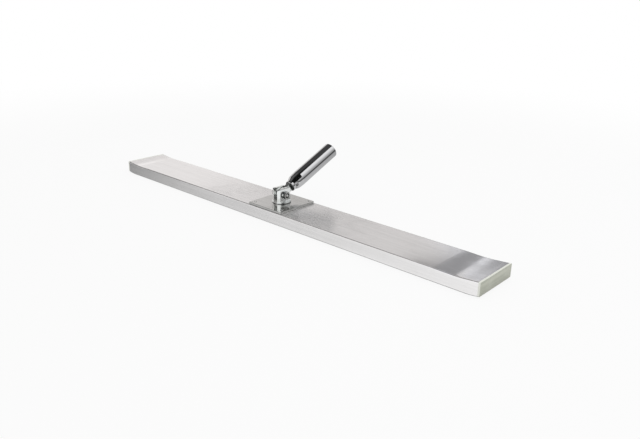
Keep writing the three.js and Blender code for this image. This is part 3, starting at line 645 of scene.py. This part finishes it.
plate_top = BLADE_HEIGHT + PLATE_THICKNESS
plate = block(
    "swivel_plate", (-PLATE_LENGTH / 2, -PLATE_WIDTH / 2, BLADE_HEIGHT),
    (PLATE_LENGTH / 2, PLATE_WIDTH / 2, plate_top))
open_up(plate)
round_edges(PLATE_CORNER_RADIUS, 8, lambda a, b: abs(a.z - b.z) > 1)
round_edges(PLATE_EDGE_RADIUS, 4, lambda a, b: abs(a.z - b.z) < 0.01)
close_up()


def drawn(name, outline):
    """A line of points, drawn one after the other in X and Z"""
    points = [Vector((across, 0, height)) * MM for across, height in outline]
    bpy.ops.object.select_all(action="DESELECT")
    bpy.ops.mesh.primitive_plane_add(size=MM)
    bpy.context.object.name = name
    bpy.ops.object.mode_set(mode="EDIT")
    bpy.ops.mesh.select_mode(type="VERT")
    bpy.ops.mesh.merge(type="CENTER")
    bpy.ops.transform.translate(value=points[0])
    for here, there in zip(points, points[1:]):
        bpy.ops.mesh.extrude_vertices_move(TRANSFORM_OT_translate={"value": there - here})
    bpy.ops.mesh.select_all(action="SELECT")
    return bpy.context.object


def softened(corners):
    """An outline whose corners, given as (across, up) or (across, up, radius), are rounded"""
    outline = []
    for i, corner in enumerate(corners):
        here = Vector(corner[:2])
        if len(corner) < 3:
            outline.append(here)
            continue
        back_way = (Vector(corners[i - 1][:2]) - here).normalized()
        on_way = (Vector(corners[(i + 1) % len(corners)][:2]) - here).normalized()
        half_turn = back_way.angle(on_way) / 2
        middle = here + (back_way + on_way).normalized() * corner[2] / sin(half_turn)
        start = here + back_way * corner[2] / tan(half_turn) - middle
        end = here + on_way * corner[2] / tan(half_turn) - middle
        turn = start.angle_signed(end)
        for step in range(CORNER_STEPS + 1):
            outline.append(middle + Matrix.Rotation(-turn * step / CORNER_STEPS, 2) @ start)
    return outline


def face_outward():
    bpy.ops.mesh.select_all(action="SELECT")
    bpy.ops.mesh.normals_make_consistent(inside=False)


def weld(apart=1e-7):
    """Joins the points of the open piece that meet"""
    bpy.ops.mesh.select_all(action="SELECT")
    bpy.ops.mesh.remove_doubles(threshold=apart)


def turned(name, corners, steps=96):
    """A piece turned about Z from an outline of (radius, height) corners"""
    outline = softened(corners)
    if outline[0].x > 0:
        outline.append(outline[0])
    piece = drawn(name, outline)
    bpy.ops.mesh.spin(steps=steps, angle=2 * pi, center=(0, 0, 0), axis=(0, 0, 1))
    weld()
    face_outward()
    close_up()
    return piece


def moved(piece, x, y=0):
    pick_only(piece)
    bpy.ops.transform.translate(value=Vector((x, y, 0)) * MM)
    settle()
    return piece


seat = plate_top - RIVET_SEAT_DEPTH
under = BLADE_HEIGHT - CUT_OVERRUN
over = plate_top + CUT_OVERRUN
shape_with(plate, rod("bore", SPIGOT_BORE_RADIUS, under, over))
for x, y in RIVET_PLACES:
    countersink = turned("countersink", [
        (0, under), (RIVET_HOLE_RADIUS, under), (RIVET_HOLE_RADIUS, seat), (RIVET_SEAT_RADIUS, plate_top),
        (RIVET_SEAT_RADIUS, over), (0, over)], 48)
    shape_with(plate, moved(countersink, x, y))

steel, tree, shader, place = surface("plate steel", 0.95)
marks = use(tree, brush_marks, place, {"Per metre": (14, 1500, 1500)})
haze = use(tree, smears, place, {"Per metre": 30.0})["Smears"]
wear = use(tree, worn_edges, place, {"Width": 0.0008, "Chips per metre": 500.0})["Wear"]
colour = tint(tree, spread(tree, marks["Bands"], 0, 1), (0.53, 0.53, 0.52, 1), (0.62, 0.62, 0.61, 1))
colour = masked_tint(tree, colour, haze, 0.3, (0.48, 0.47, 0.45, 1))
colour = masked_tint(tree, colour, wear, 0.7, (0.85, 0.85, 0.84, 1))
roughness = calc(tree, "MULTIPLY_ADD", haze, 0.07, spread(tree, marks["Lines"], 0.09, 0.15))
coat(tree, shader, colour, roughness, marks["Lines"], 0.000004)
complete(plate, steel, "blade", "mount_plate")


# Rivets: four aluminium blind rivets, set flush in the plate. Each head shows the pit of its
# broken mandrel, and inside the blade its tail is pulled out into a bulge under the wall.
RIVET_RADIUS = 3.2
RIVET_HEAD_RADIUS = 6
RIVET_HEAD_HEIGHT = 2.4
RIVET_TAIL_RADIUS = 4.8
RIVET_TAIL_LENGTH = 5
RIVET_TAIL_GAP = 0.2
MANDREL_RADIUS = 1.6
MANDREL_DEPTH = 1.2

under_wall = BLADE_HEIGHT - BLADE_WALL - RIVET_TAIL_GAP
rivet = turned("blind_rivet_1", [
    (0, under_wall - RIVET_TAIL_LENGTH), (RIVET_RADIUS, under_wall - RIVET_TAIL_LENGTH, 0.8),
    (RIVET_TAIL_RADIUS, under_wall - RIVET_TAIL_LENGTH / 2, 1.2), (RIVET_TAIL_RADIUS, under_wall, 0.4),
    (RIVET_RADIUS, under_wall), (RIVET_RADIUS, plate_top - RIVET_HEAD_HEIGHT),
    (RIVET_HEAD_RADIUS, plate_top - 0.1, 0.08), (RIVET_HEAD_RADIUS - 0.3, plate_top),
    (MANDREL_RADIUS, plate_top, 0.3), (MANDREL_RADIUS, plate_top - MANDREL_DEPTH, 0.3),
    (0, plate_top - MANDREL_DEPTH)], 64)


def from_axis(tree, first, second):
    """The distance from an axis, out of the two distances at right angles to it"""
    flat = add_node(tree, "ShaderNodeCombineXYZ", {0: first, 1: second}).outputs[0]
    return add_node(tree, "ShaderNodeVectorMath", {0: flat}, operation="LENGTH").outputs["Value"]


turning_marks, given, result = effect("turning marks", [PLACE, ("Per metre", FLOAT, 2000.0)], ["Rings"])
x, y, z = split(turning_marks, given["Place"])
ring = add_node(turning_marks, "ShaderNodeCombineXYZ", {0: from_axis(turning_marks, x, y), 1: z}).outputs[0]
turning_marks.links.new(noise(turning_marks, ring, given["Per metre"], 2.0), result["Rings"])

rivet_metal, tree, shader, place = surface("rivet aluminium")
folded = add_node(tree, "ShaderNodeVectorMath", {0: place}, operation="ABSOLUTE").outputs[0]
own_centre = {0: folded, 1: (RIVET_X * MM, RIVET_Y * MM, 0)}
own_place = add_node(tree, "ShaderNodeVectorMath", own_centre, operation="SUBTRACT").outputs[0]
rings = use(tree, turning_marks, own_place, {"Per metre": 1600.0})["Rings"]
haze = use(tree, smears, place, {"Per metre": 160.0})["Smears"]
colour = tint(tree, spread(tree, rings, 0, 1), (0.66, 0.66, 0.65, 1), (0.78, 0.78, 0.77, 1))
colour = masked_tint(tree, colour, haze, 0.4, (0.5, 0.5, 0.48, 1))
roughness = calc(tree, "MULTIPLY_ADD", haze, 0.12, spread(tree, rings, 0.22, 0.34))
coat(tree, shader, colour, roughness, rings, 0.00001)
for number, (x, y) in enumerate(RIVET_PLACES, 1):
    pick_only(rivet)
    bpy.ops.object.duplicate()
    placed = moved(bpy.context.object, x, y)
    placed.name = f"blind_rivet_{number}"
    complete(placed, rivet_metal, "blade", f"plate_rivet_{number}")
bpy.data.objects.remove(rivet)


# Friction disc and hidden fittings: a nylon disc under the fork's foot, nylon washers and a ring
# at the tilt bolt, and the zinc-plated washer and nut that hold the fork's spigot inside the
# blade. Their solids are plain rings and a hexagon, and those stay and get a finish.
def dress(node, finish):
    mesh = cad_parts[node].data
    mesh.materials.clear()
    mesh.materials.append(finish)


specks, given, result = effect("specks", [PLACE, ("Per metre", FLOAT, 600.0)], ["Specks"])
inputs = {"Vector": given["Place"], "Scale": given["Per metre"]}
cells = add_node(specks, "ShaderNodeTexVoronoi", inputs).outputs
chosen = graded(specks, split(specks, cells["Color"])[0], 0.7, 0.75, 0, 1)
near = graded(specks, cells["Distance"], 0.1, 0.22, 1, 0)
specks.links.new(calc(specks, "MULTIPLY", near, chosen), result["Specks"])

nylon, tree, shader, place = surface("dark nylon", 0.0)
haze = use(tree, smears, place, {"Per metre": 90.0})["Smears"]
dust = use(tree, specks, place, {"Per metre": 700.0})["Specks"]
colour = tint(tree, haze, (0.016, 0.016, 0.017, 1), (0.035, 0.034, 0.033, 1))
colour = masked_tint(tree, colour, dust, 0.5, (0.16, 0.155, 0.15, 1))
roughness = graded(tree, haze, 0, 1, 0.42, 0.62)
coat(tree, shader, colour, roughness, noise(tree, place, 2500.0), 0.00001)

PIVOT_HEIGHT = 56
HEAD_TOP = 21.5
HEAD_GROOVE_RADIUS = 6.8
HEAD_GROOVE_DEPTH = 1.5
HEAD_BUTTON_RADIUS = 3.2
HEAD_BUTTON_DROP = 0.3
THREAD_SHOWS_FROM = -26.6
zinc, tree, shader, place = surface("zinc")
inputs = {0: place, 1: (0, 0, PIVOT_HEIGHT * MM)}
from_bolt = add_node(tree, "ShaderNodeVectorMath", inputs, operation="SUBTRACT").outputs[0]
x, y, z = split(tree, from_bolt)
radius = from_axis(tree, y, z)
# Painted shade: the groove in the bolt's head and the end of the thread that stands out of the nut are
# painted nearly black, and made rougher
painted_shade = product(
    tree, graded(tree, x, (HEAD_TOP - 1.2) * MM, (HEAD_TOP - 0.4) * MM, 1, 0),
    graded(tree, x, (HEAD_TOP - 2) * MM, (HEAD_TOP - 1.8) * MM, 0, 1),
    graded(tree, radius, (HEAD_GROOVE_RADIUS - 0.1) * MM, HEAD_GROOVE_RADIUS * MM, 1, 0))
painted_thread_end_shade = graded(tree, x, (THREAD_SHOWS_FROM - 0.1) * MM, (THREAD_SHOWS_FROM + 0.1) * MM, 1, 0)
painted_shade = calc(tree, "MAXIMUM", painted_shade, painted_thread_end_shade)
clouds = noise(tree, place, 130.0, 3.0, 0.6, 0.8)
pits = use(tree, specks, place, {"Per metre": 1100.0})["Specks"]
wear = use(tree, worn_edges, place, {"Width": 0.0006, "Chips per metre": 900.0})["Wear"]
colour = tint(tree, graded(tree, clouds, 0.35, 0.65, 0, 1), (0.67, 0.7, 0.72, 1), (0.78, 0.77, 0.73, 1))
colour = masked_tint(tree, colour, pits, 0.4, (0.45, 0.46, 0.47, 1))
colour = masked_tint(tree, colour, wear, 0.7, (0.82, 0.83, 0.83, 1))
# The painted shade, nearly black
colour = masked_tint(tree, colour, painted_shade, 0.95, (0.025, 0.024, 0.022, 1))
roughness = calc(tree, "MULTIPLY_ADD", pits, 0.15, spread(tree, clouds, 0.12, 0.22))
roughness = calc(tree, "MULTIPLY_ADD", painted_shade, 0.4, roughness)
coat(tree, shader, colour, roughness, noise(tree, place, 1500.0), 0.000004)
for node in ("friction_disc", "nylon_ring", "thrust_washer_right", "thrust_washer_left"):
    dress(node, nylon)
for node in ("swivel_washer", "swivel_nut"):
    dress(node, zinc)


# Fork: a chromed steel post turned in one piece with its foot and its threaded spigot. A slot
# with round roots is milled across it for the hinge eye, and a flat with a wide cove on each
# side for the bolt's head and nut.
SPIGOT_RADIUS = 6
SPIGOT_LOW = 18.5
FOOT_LOW = 37
FOOT_TOP = 39.6
FOOT_RADIUS = 24
FOOT_EDGE_RADIUS = 0.8
POST_RADIUS = 22
POST_TOP = 73.5
POST_EDGE_RADIUS = 1.5
SLOT_HALF_WIDTH = 6
SLOT_FLOOR = 42
SLOT_ROOT_RADIUS = 2
EAR_OUTER = 13.5
EAR_COVE_RADIUS = 4.5
EAR_EDGE_RADIUS = 2
EAR_CORNER_RADIUS = 9
BOLT_HOLE_RADIUS = 5.25
MILLED_EDGE = 0.35
SLOT_DUST = (0.4, 0.39, 0.37, 1)

fork = turned("swivel_fork", [
    (0, SPIGOT_LOW), (SPIGOT_RADIUS - 1, SPIGOT_LOW), (SPIGOT_RADIUS, SPIGOT_LOW + 1),
    (SPIGOT_RADIUS, FOOT_LOW), (FOOT_RADIUS, FOOT_LOW, 0.3), (FOOT_RADIUS, FOOT_TOP, FOOT_EDGE_RADIUS),
    (POST_RADIUS, FOOT_TOP), (POST_RADIUS, POST_TOP, POST_EDGE_RADIUS), (0, POST_TOP)], 120)


def slab(name, corners, half_depth):
    """A slab with an outline in X and Z, as deep to one side of it as to the other"""
    piece = drawn(name, softened(corners))
    bpy.ops.mesh.edge_face_add()
    bpy.ops.transform.translate(value=(0, -half_depth * MM, 0))
    bpy.ops.mesh.extrude_region_move(TRANSFORM_OT_translate={"value": (0, 2 * half_depth * MM, 0)})
    face_outward()
    close_up()
    return piece


over = POST_TOP + CUT_OVERRUN
reach = FOOT_RADIUS + CUT_OVERRUN
shape_with(fork, slab("slot", [
    (-SLOT_HALF_WIDTH, over), (-SLOT_HALF_WIDTH, SLOT_FLOOR, SLOT_ROOT_RADIUS),
    (SLOT_HALF_WIDTH, SLOT_FLOOR, SLOT_ROOT_RADIUS), (SLOT_HALF_WIDTH, over)], reach))
for side in (1, -1):
    inner = EAR_OUTER - EAR_EDGE_RADIUS
    flat = slab("flat", [
        (side * reach, FOOT_TOP), (side * reach, over), (side * inner, over), (side * inner, POST_TOP),
        (side * EAR_OUTER, POST_TOP, EAR_EDGE_RADIUS), (side * EAR_OUTER, FOOT_TOP, EAR_COVE_RADIUS)], reach)
    shape_with(fork, flat)
    inner = POST_RADIUS - EAR_CORNER_RADIUS - MILLED_EDGE
    under = POST_TOP - EAR_CORNER_RADIUS - MILLED_EDGE
    corner = slab("corner", [
        (side * reach, under), (side * reach, over), (side * inner, over), (side * inner, POST_TOP),
        (side * POST_RADIUS, POST_TOP, EAR_CORNER_RADIUS), (side * POST_RADIUS, under)], reach)
    corner.rotation_euler = (0, 0, pi / 2)
    shape_with(fork, corner)


def broken_edges(piece, width):
    """Takes the sharpness off every hard edge, as a file does"""
    bpy.context.view_layer.objects.active = piece
    modifier = piece.modifiers.new("broken edges", "BEVEL")
    modifier.width = width * MM
    modifier.segments = 2
    modifier.limit_method = "ANGLE"
    modifier.angle_limit = radians(38)
    modifier.use_clamp_overlap = True
    bpy.ops.object.modifier_apply(modifier=modifier.name)


ALONG_BOLT = (0, pi / 2, 0)


def laid(piece, turn):
    """Turns a piece that is made upright round the origin, and brings it to the pivot"""
    pick_only(piece)
    piece.rotation_euler = turn
    piece.location = (0, 0, PIVOT_HEIGHT * MM)
    settle()
    return piece


shape_with(fork, laid(rod("bolt hole", BOLT_HOLE_RADIUS, -reach, reach, steps=64), ALONG_BOLT))
open_up(fork)
weld(1e-6)
close_up()
broken_edges(fork, MILLED_EDGE)

slot_dust, given, result = effect("slot dust", [PLACE], ["Dust"])
x, y, z = split(slot_dust, given["Place"])
across = calc(slot_dust, "ABSOLUTE", x)
in_slot = graded(slot_dust, across, (SLOT_HALF_WIDTH - 0.1) * MM, (SLOT_HALF_WIDTH + 0.1) * MM, 1, 0)
settled = graded(slot_dust, z, (SLOT_FLOOR + 2) * MM, (PIVOT_HEIGHT + 4) * MM, 0.75, 0)
patches = graded(slot_dust, noise(slot_dust, given["Place"], 350.0, 4.0, 0.6), 0.3, 0.6, 0.5, 1)
slot_dust.links.new(product(slot_dust, in_slot, settled, patches), result["Dust"])

joint_chrome, tree, shader, place = surface("joint chrome")
facing_x, _, facing_z = split(tree, add_node(tree, "ShaderNodeTexCoord").outputs["Normal"])
milled_share = graded(tree, calc(tree, "ABSOLUTE", facing_x), 0.94, 0.98, 0, 1)
crown = product(tree, graded(tree, facing_z, 0.2, 0.45, 0, 1), graded(tree, facing_z, 0.95, 0.99, 1, 0))
dust = use(tree, slot_dust, place)["Dust"]
rings = use(tree, turning_marks, place, {"Per metre": 1500.0})["Rings"]
strokes = use(tree, brush_marks, place, {"Per metre": (1500, 30, 1500)})["Lines"]
marks = blend(tree, milled_share, rings, strokes)
haze = use(tree, smears, place, {"Per metre": 60.0})["Smears"]
wear = use(tree, worn_edges, place, {"Width": 0.0008, "Chips per metre": 700.0})["Wear"]
colour = tint(tree, spread(tree, marks, 0, 1), (0.78, 0.805, 0.795, 1), (0.86, 0.88, 0.875, 1))
colour = masked_tint(tree, colour, haze, 0.2, (0.66, 0.66, 0.65, 1))
colour = masked_tint(tree, colour, wear, 0.6, (0.92, 0.92, 0.92, 1))
colour = masked_tint(tree, colour, milled_share, 0.6, (0.94, 0.95, 0.94, 1))
colour = tint(tree, dust, colour, SLOT_DUST)
roughness = calc(tree, "MULTIPLY_ADD", haze, 0.06, spread(tree, marks, 0.08, 0.14))
roughness = calc(tree, "MULTIPLY_ADD", crown, 0.24, roughness)
roughness = calc(tree, "MULTIPLY_ADD", dust, 0.5, roughness)
tree.links.new(calc(tree, "SUBTRACT", 1.0, dust), shader.inputs["Metallic"])
coat(tree, shader, colour, roughness, marks, 0.000003)
complete(fork, joint_chrome, "fork", "joint_fork")


# Washers: two rings stamped from sheet steel and zinc-plated. They sit on the tilt bolt, one
# under its head and one under its nut, and keep both off the chrome of the ears.
WASHER_RADIUS = 10
WASHER_THICKNESS = 1.6

washer = turned("head_washer", [
    (BOLT_HOLE_RADIUS, EAR_OUTER), (WASHER_RADIUS, EAR_OUTER, 0.35),
    (WASHER_RADIUS, EAR_OUTER + WASHER_THICKNESS, 0.35),
    (BOLT_HOLE_RADIUS, EAR_OUTER + WASHER_THICKNESS, 0.25)])
laid(washer, ALONG_BOLT)
bpy.ops.object.duplicate()
nut_side_washer = moved(bpy.context.object, x=-2 * EAR_OUTER - WASHER_THICKNESS)
nut_side_washer.name = "nut_side_washer"
complete(washer, zinc, "fork", "bolt_washer")
complete(nut_side_washer, zinc, "fork", "nut_washer")


# Tilt bolt: a hexagon bolt whose head has its corners turned off and a washer face. Its shank
# ends in a rolled thread, chamfered at the tip, that stands out of the nut.
BOLT_RADIUS = 5
BOLT_PITCH = 1.5
THREAD_DEPTH = 0.8
THREAD_LENGTH = 20
BOLT_LOW = -30.6
TIP_CHAMFER = 1.1
HEAD_SEAT = EAR_OUTER + WASHER_THICKNESS
HEX_FLAT_RADIUS = 8.5
HEX_CORNER_RADIUS = HEX_FLAT_RADIUS / cos(pi / 6)
HEX_TURNED_RADIUS = 8
HEX_TURNED_SLOPE = 0.5
WASHER_FACE_HEIGHT = 0.4
WASHER_FACE_RADIUS = 7.9


def threaded(name, low, high):
    """A rod with a helical thread: one tooth screwed up and round, then trimmed at both ends"""
    root = BOLT_RADIUS - THREAD_DEPTH
    start = low - 2 * BOLT_PITCH
    piece = drawn(name, [
        (root, start), (BOLT_RADIUS, start + BOLT_PITCH * 0.4), (BOLT_RADIUS, start + BOLT_PITCH * 0.55),
        (root, start + BOLT_PITCH * 0.95), (root, start + BOLT_PITCH)])
    close_up()
    modifier = piece.modifiers.new("thread", "SCREW")
    modifier.axis = "Z"
    modifier.screw_offset = BOLT_PITCH * MM
    modifier.iterations = int((high - low) / BOLT_PITCH) + 4
    modifier.steps = modifier.render_steps = 40
    bpy.ops.object.modifier_apply(modifier=modifier.name)
    open_up(piece)
    weld()
    face_outward()
    for height, outer in ((low, False), (high, True)):
        bpy.ops.mesh.select_all(action="SELECT")
        bpy.ops.mesh.bisect(
            plane_co=(0, 0, height * MM), plane_no=(0, 0, 1), use_fill=True,
            clear_inner=not outer, clear_outer=outer, threshold=1e-7)
    face_outward()
    close_up()
    return piece


thread_end = BOLT_LOW + THREAD_LENGTH
bolt = threaded("tilt_bolt_hexagon", BOLT_LOW, thread_end)
shape_with(bolt, turned("tip", [
    (0, BOLT_LOW), (BOLT_RADIUS - TIP_CHAMFER, BOLT_LOW), (BOLT_RADIUS + 0.1, BOLT_LOW + TIP_CHAMFER + 0.1),
    (BOLT_RADIUS + 0.1, thread_end + 1), (0, thread_end + 1)], 48), "INTERSECT")
shape_with(bolt, rod("shank", BOLT_RADIUS, thread_end - 0.2, HEAD_SEAT + 1, steps=64), "UNION")
outside = HEX_CORNER_RADIUS + 1
turned_off = (outside - HEX_TURNED_RADIUS) * HEX_TURNED_SLOPE
head = rod("head", HEX_CORNER_RADIUS, HEAD_SEAT + WASHER_FACE_HEIGHT, HEAD_TOP, steps=6)
shape_with(head, turned("turned off", [
    (0, HEAD_SEAT), (outside, HEAD_SEAT), (outside, HEAD_TOP - turned_off), (HEX_TURNED_RADIUS, HEAD_TOP),
    (0, HEAD_TOP)], 120), "INTERSECT")
shape_with(head, rod("washer face", WASHER_FACE_RADIUS, HEAD_SEAT, HEAD_SEAT + 1), "UNION")
shape_with(head, turned("groove", [
    (0, HEAD_TOP - HEAD_BUTTON_DROP), (HEAD_BUTTON_RADIUS, HEAD_TOP - HEAD_BUTTON_DROP, 0.3),
    (HEAD_BUTTON_RADIUS + 0.6, HEAD_TOP - HEAD_GROOVE_DEPTH, 0.4),
    (HEAD_GROOVE_RADIUS - 0.6, HEAD_TOP - HEAD_GROOVE_DEPTH, 0.4),
    (HEAD_GROOVE_RADIUS, HEAD_TOP), (HEAD_GROOVE_RADIUS, HEAD_TOP + CUT_OVERRUN),
    (0, HEAD_TOP + CUT_OVERRUN)]))
shape_with(bolt, head, "UNION")
laid(bolt, ALONG_BOLT)
complete(bolt, zinc, "fork", "tilt_bolt")


# Locking nut: a hexagon with both its ends turned off, and a round collar rolled over the
# nylon ring that grips the thread.
NUT_HEX_HEIGHT = 8.9
NUT_COLLAR_HEIGHT = 2.6
COLLAR_POCKET_RADIUS = 6.6
COLLAR_WALL = 0.7

nut_top = HEAD_SEAT + NUT_HEX_HEIGHT
collar_top = nut_top + NUT_COLLAR_HEIGHT
nut = rod("lock_nut_hexagon", HEX_CORNER_RADIUS, HEAD_SEAT, nut_top, steps=6)
shape_with(nut, turned("turned off", [
    (0, HEAD_SEAT), (HEX_TURNED_RADIUS, HEAD_SEAT), (outside, HEAD_SEAT + turned_off),
    (outside, nut_top - turned_off), (HEX_TURNED_RADIUS, nut_top), (0, nut_top)], 120), "INTERSECT")
collar_radius = COLLAR_POCKET_RADIUS + COLLAR_WALL
shape_with(nut, turned("collar", [
    (0, HEAD_SEAT + 2), (collar_radius, HEAD_SEAT + 2), (collar_radius, collar_top, 0.5),
    (0, collar_top)]), "UNION")
shape_with(nut, rod("pocket", COLLAR_POCKET_RADIUS, nut_top, collar_top + CUT_OVERRUN))
shape_with(nut, rod("thread bore", BOLT_HOLE_RADIUS, HEAD_SEAT - CUT_OVERRUN, collar_top + CUT_OVERRUN))
laid(nut, ALONG_BOLT)
turn_round()
complete(nut, zinc, "fork", "lock_nut")


# Hinge eye: a forged chromed tongue round the bolt, with a tapered plug that is held in the
# socket's neck.
TONGUE_HALF_THICKNESS = 4.7
TONGUE_HALF_WIDTH = 10
EYE_RADIUS = 13
EYE_LENGTH = 13
NECK_FROM_PIVOT = 33.01
NECK_RADIUS = 14
SOCKET_WALL = 2
NECK_GAP = 0.3
NECK_LIP = 7
SHOULDER_LENGTH = 6
PLUG_FROM_NECK = 24
TAPER_LENGTH = 27
SOCKET_RADIUS = 20
REST_TILT = 23.5
ON_ARM = (radians(REST_TILT - 90), 0, 0)

plug_radius = NECK_RADIUS - SOCKET_WALL - NECK_GAP
shoulder = NECK_FROM_PIVOT - SHOULDER_LENGTH
taper_start = NECK_FROM_PIVOT + NECK_LIP
arc = [(-EYE_RADIUS * cos(pi * step / 48), -EYE_RADIUS * sin(pi * step / 48)) for step in range(49)]
corners = arc + [
    (TONGUE_HALF_WIDTH, EYE_LENGTH, 12), (TONGUE_HALF_WIDTH, shoulder, 4), (plug_radius, NECK_FROM_PIVOT),
    (plug_radius, taper_start), (-plug_radius, taper_start), (-plug_radius, NECK_FROM_PIVOT),
    (-TONGUE_HALF_WIDTH, shoulder, 4), (-TONGUE_HALF_WIDTH, EYE_LENGTH, 12)]
eye = slab("hinge_eye_forging", corners, TONGUE_HALF_THICKNESS)
open_up(eye)
bpy.ops.mesh.select_all(action="SELECT")
bpy.ops.transform.rotate(value=pi / 2, orient_axis="Z", center_override=(0, 0, 0))
close_up()
plug_end = NECK_FROM_PIVOT + PLUG_FROM_NECK
plug_end_radius = NECK_RADIUS + (SOCKET_RADIUS - NECK_RADIUS) * (plug_end - taper_start) / TAPER_LENGTH
shape_with(eye, rod("round", plug_radius, -EYE_RADIUS - CUT_OVERRUN, plug_end), "INTERSECT")
shape_with(eye, turned("plug", [
    (0, NECK_FROM_PIVOT), (plug_radius, NECK_FROM_PIVOT), (plug_radius, taper_start),
    (plug_end_radius - SOCKET_WALL - NECK_GAP, plug_end), (0, plug_end)]), "UNION")
half = TONGUE_HALF_THICKNESS + CUT_OVERRUN
hole = rod("hole", BOLT_HOLE_RADIUS, -half, half, steps=64)
hole.rotation_euler = ALONG_BOLT
settle()
shape_with(eye, hole)
laid(eye, ON_ARM)
forged_chrome, tree, shader, place = surface("forged chrome")
scale = noise(tree, place, 700.0, 4.0, 0.6)
haze = use(tree, smears, place, {"Per metre": 80.0})["Smears"]
wear = use(tree, worn_edges, place, {"Width": 0.001, "Chips per metre": 500.0})["Wear"]
colour = tint(tree, graded(tree, scale, 0.35, 0.65, 0, 1), (0.6, 0.62, 0.61, 1), (0.7, 0.72, 0.71, 1))
colour = masked_tint(tree, colour, haze, 0.3, (0.45, 0.45, 0.44, 1))
colour = masked_tint(tree, colour, wear, 0.5, (0.8, 0.8, 0.79, 1))
dust = use(tree, slot_dust, place)["Dust"]
colour = tint(tree, dust, colour, SLOT_DUST)
roughness = calc(tree, "MULTIPLY_ADD", haze, 0.1, graded(tree, scale, 0.35, 0.65, 0.16, 0.26))
roughness = calc(tree, "MULTIPLY_ADD", dust, 0.5, roughness)
tree.links.new(calc(tree, "SUBTRACT", 1.0, dust), shader.inputs["Metallic"])
coat(tree, shader, colour, roughness, scale, 0.00002)
complete(eye, forged_chrome, "handle_socket", "hinge_eye")


# Handle socket: a steel tube drawn in to a neck round the hinge eye's plug, its mouth open
# for the handle. It is chromed and polished outside, and left bare in the bore.
MOUTH = 200
BULGE_RADIUS = 18.8
BULGE_LENGTH = 10
taper_end = taper_start + TAPER_LENGTH

socket = turned("socket_chromed_tube", [
    (NECK_RADIUS, NECK_FROM_PIVOT, 0.6), (NECK_RADIUS, taper_start, 5),
    (BULGE_RADIUS, taper_start + BULGE_LENGTH, 25), (SOCKET_RADIUS, taper_end, 40),
    (SOCKET_RADIUS, MOUTH, 0.8), (SOCKET_RADIUS - SOCKET_WALL, MOUTH, 0.7),
    (SOCKET_RADIUS - SOCKET_WALL, taper_end), (NECK_RADIUS - SOCKET_WALL, taper_start),
    (NECK_RADIUS - SOCKET_WALL, NECK_FROM_PIVOT), (NECK_RADIUS - 1, NECK_FROM_PIVOT)], 144)
socket_chrome, tree, shader, place = surface("socket chrome")
inputs = {"Vector": place, "Location": (0, 0, PIVOT_HEIGHT * MM), "Rotation": ON_ARM}
arm_place = add_node(tree, "ShaderNodeMapping", inputs, vector_type="TEXTURE").outputs[0]
x, y, z = split(tree, arm_place)
inside = (SOCKET_RADIUS - SOCKET_WALL + 0.3) * MM
bare = product(
    tree, graded(tree, from_axis(tree, x, y), inside, inside + 0.5 * MM, 1, 0),
    graded(tree, z, (taper_end - 2) * MM, (taper_end + 2) * MM, 0, 1))
rings = use(tree, turning_marks, arm_place, {"Per metre": 1400.0})["Rings"]
haze = use(tree, smears, place, {"Per metre": 25.0})["Smears"]
pits = use(tree, specks, place, {"Per metre": 500.0})["Specks"]
colour = tint(tree, spread(tree, rings, 0, 1), (0.59, 0.59, 0.6, 1), (0.65, 0.65, 0.66, 1))
colour = masked_tint(tree, colour, haze, 0.15, (0.5, 0.5, 0.5, 1))
colour = masked_tint(tree, colour, bare, 0.9, (0.3, 0.29, 0.28, 1))
roughness = calc(tree, "MULTIPLY_ADD", pits, 0.1, spread(tree, rings, 0.02, 0.05))
roughness = calc(tree, "MULTIPLY_ADD", haze, 0.04, roughness)
roughness = blend(tree, bare, roughness, 0.42)
coat(tree, shader, colour, roughness, rings, 0.000001)
laid(socket, ON_ARM)
complete(socket, socket_chrome, "handle_socket", "socket_tube")
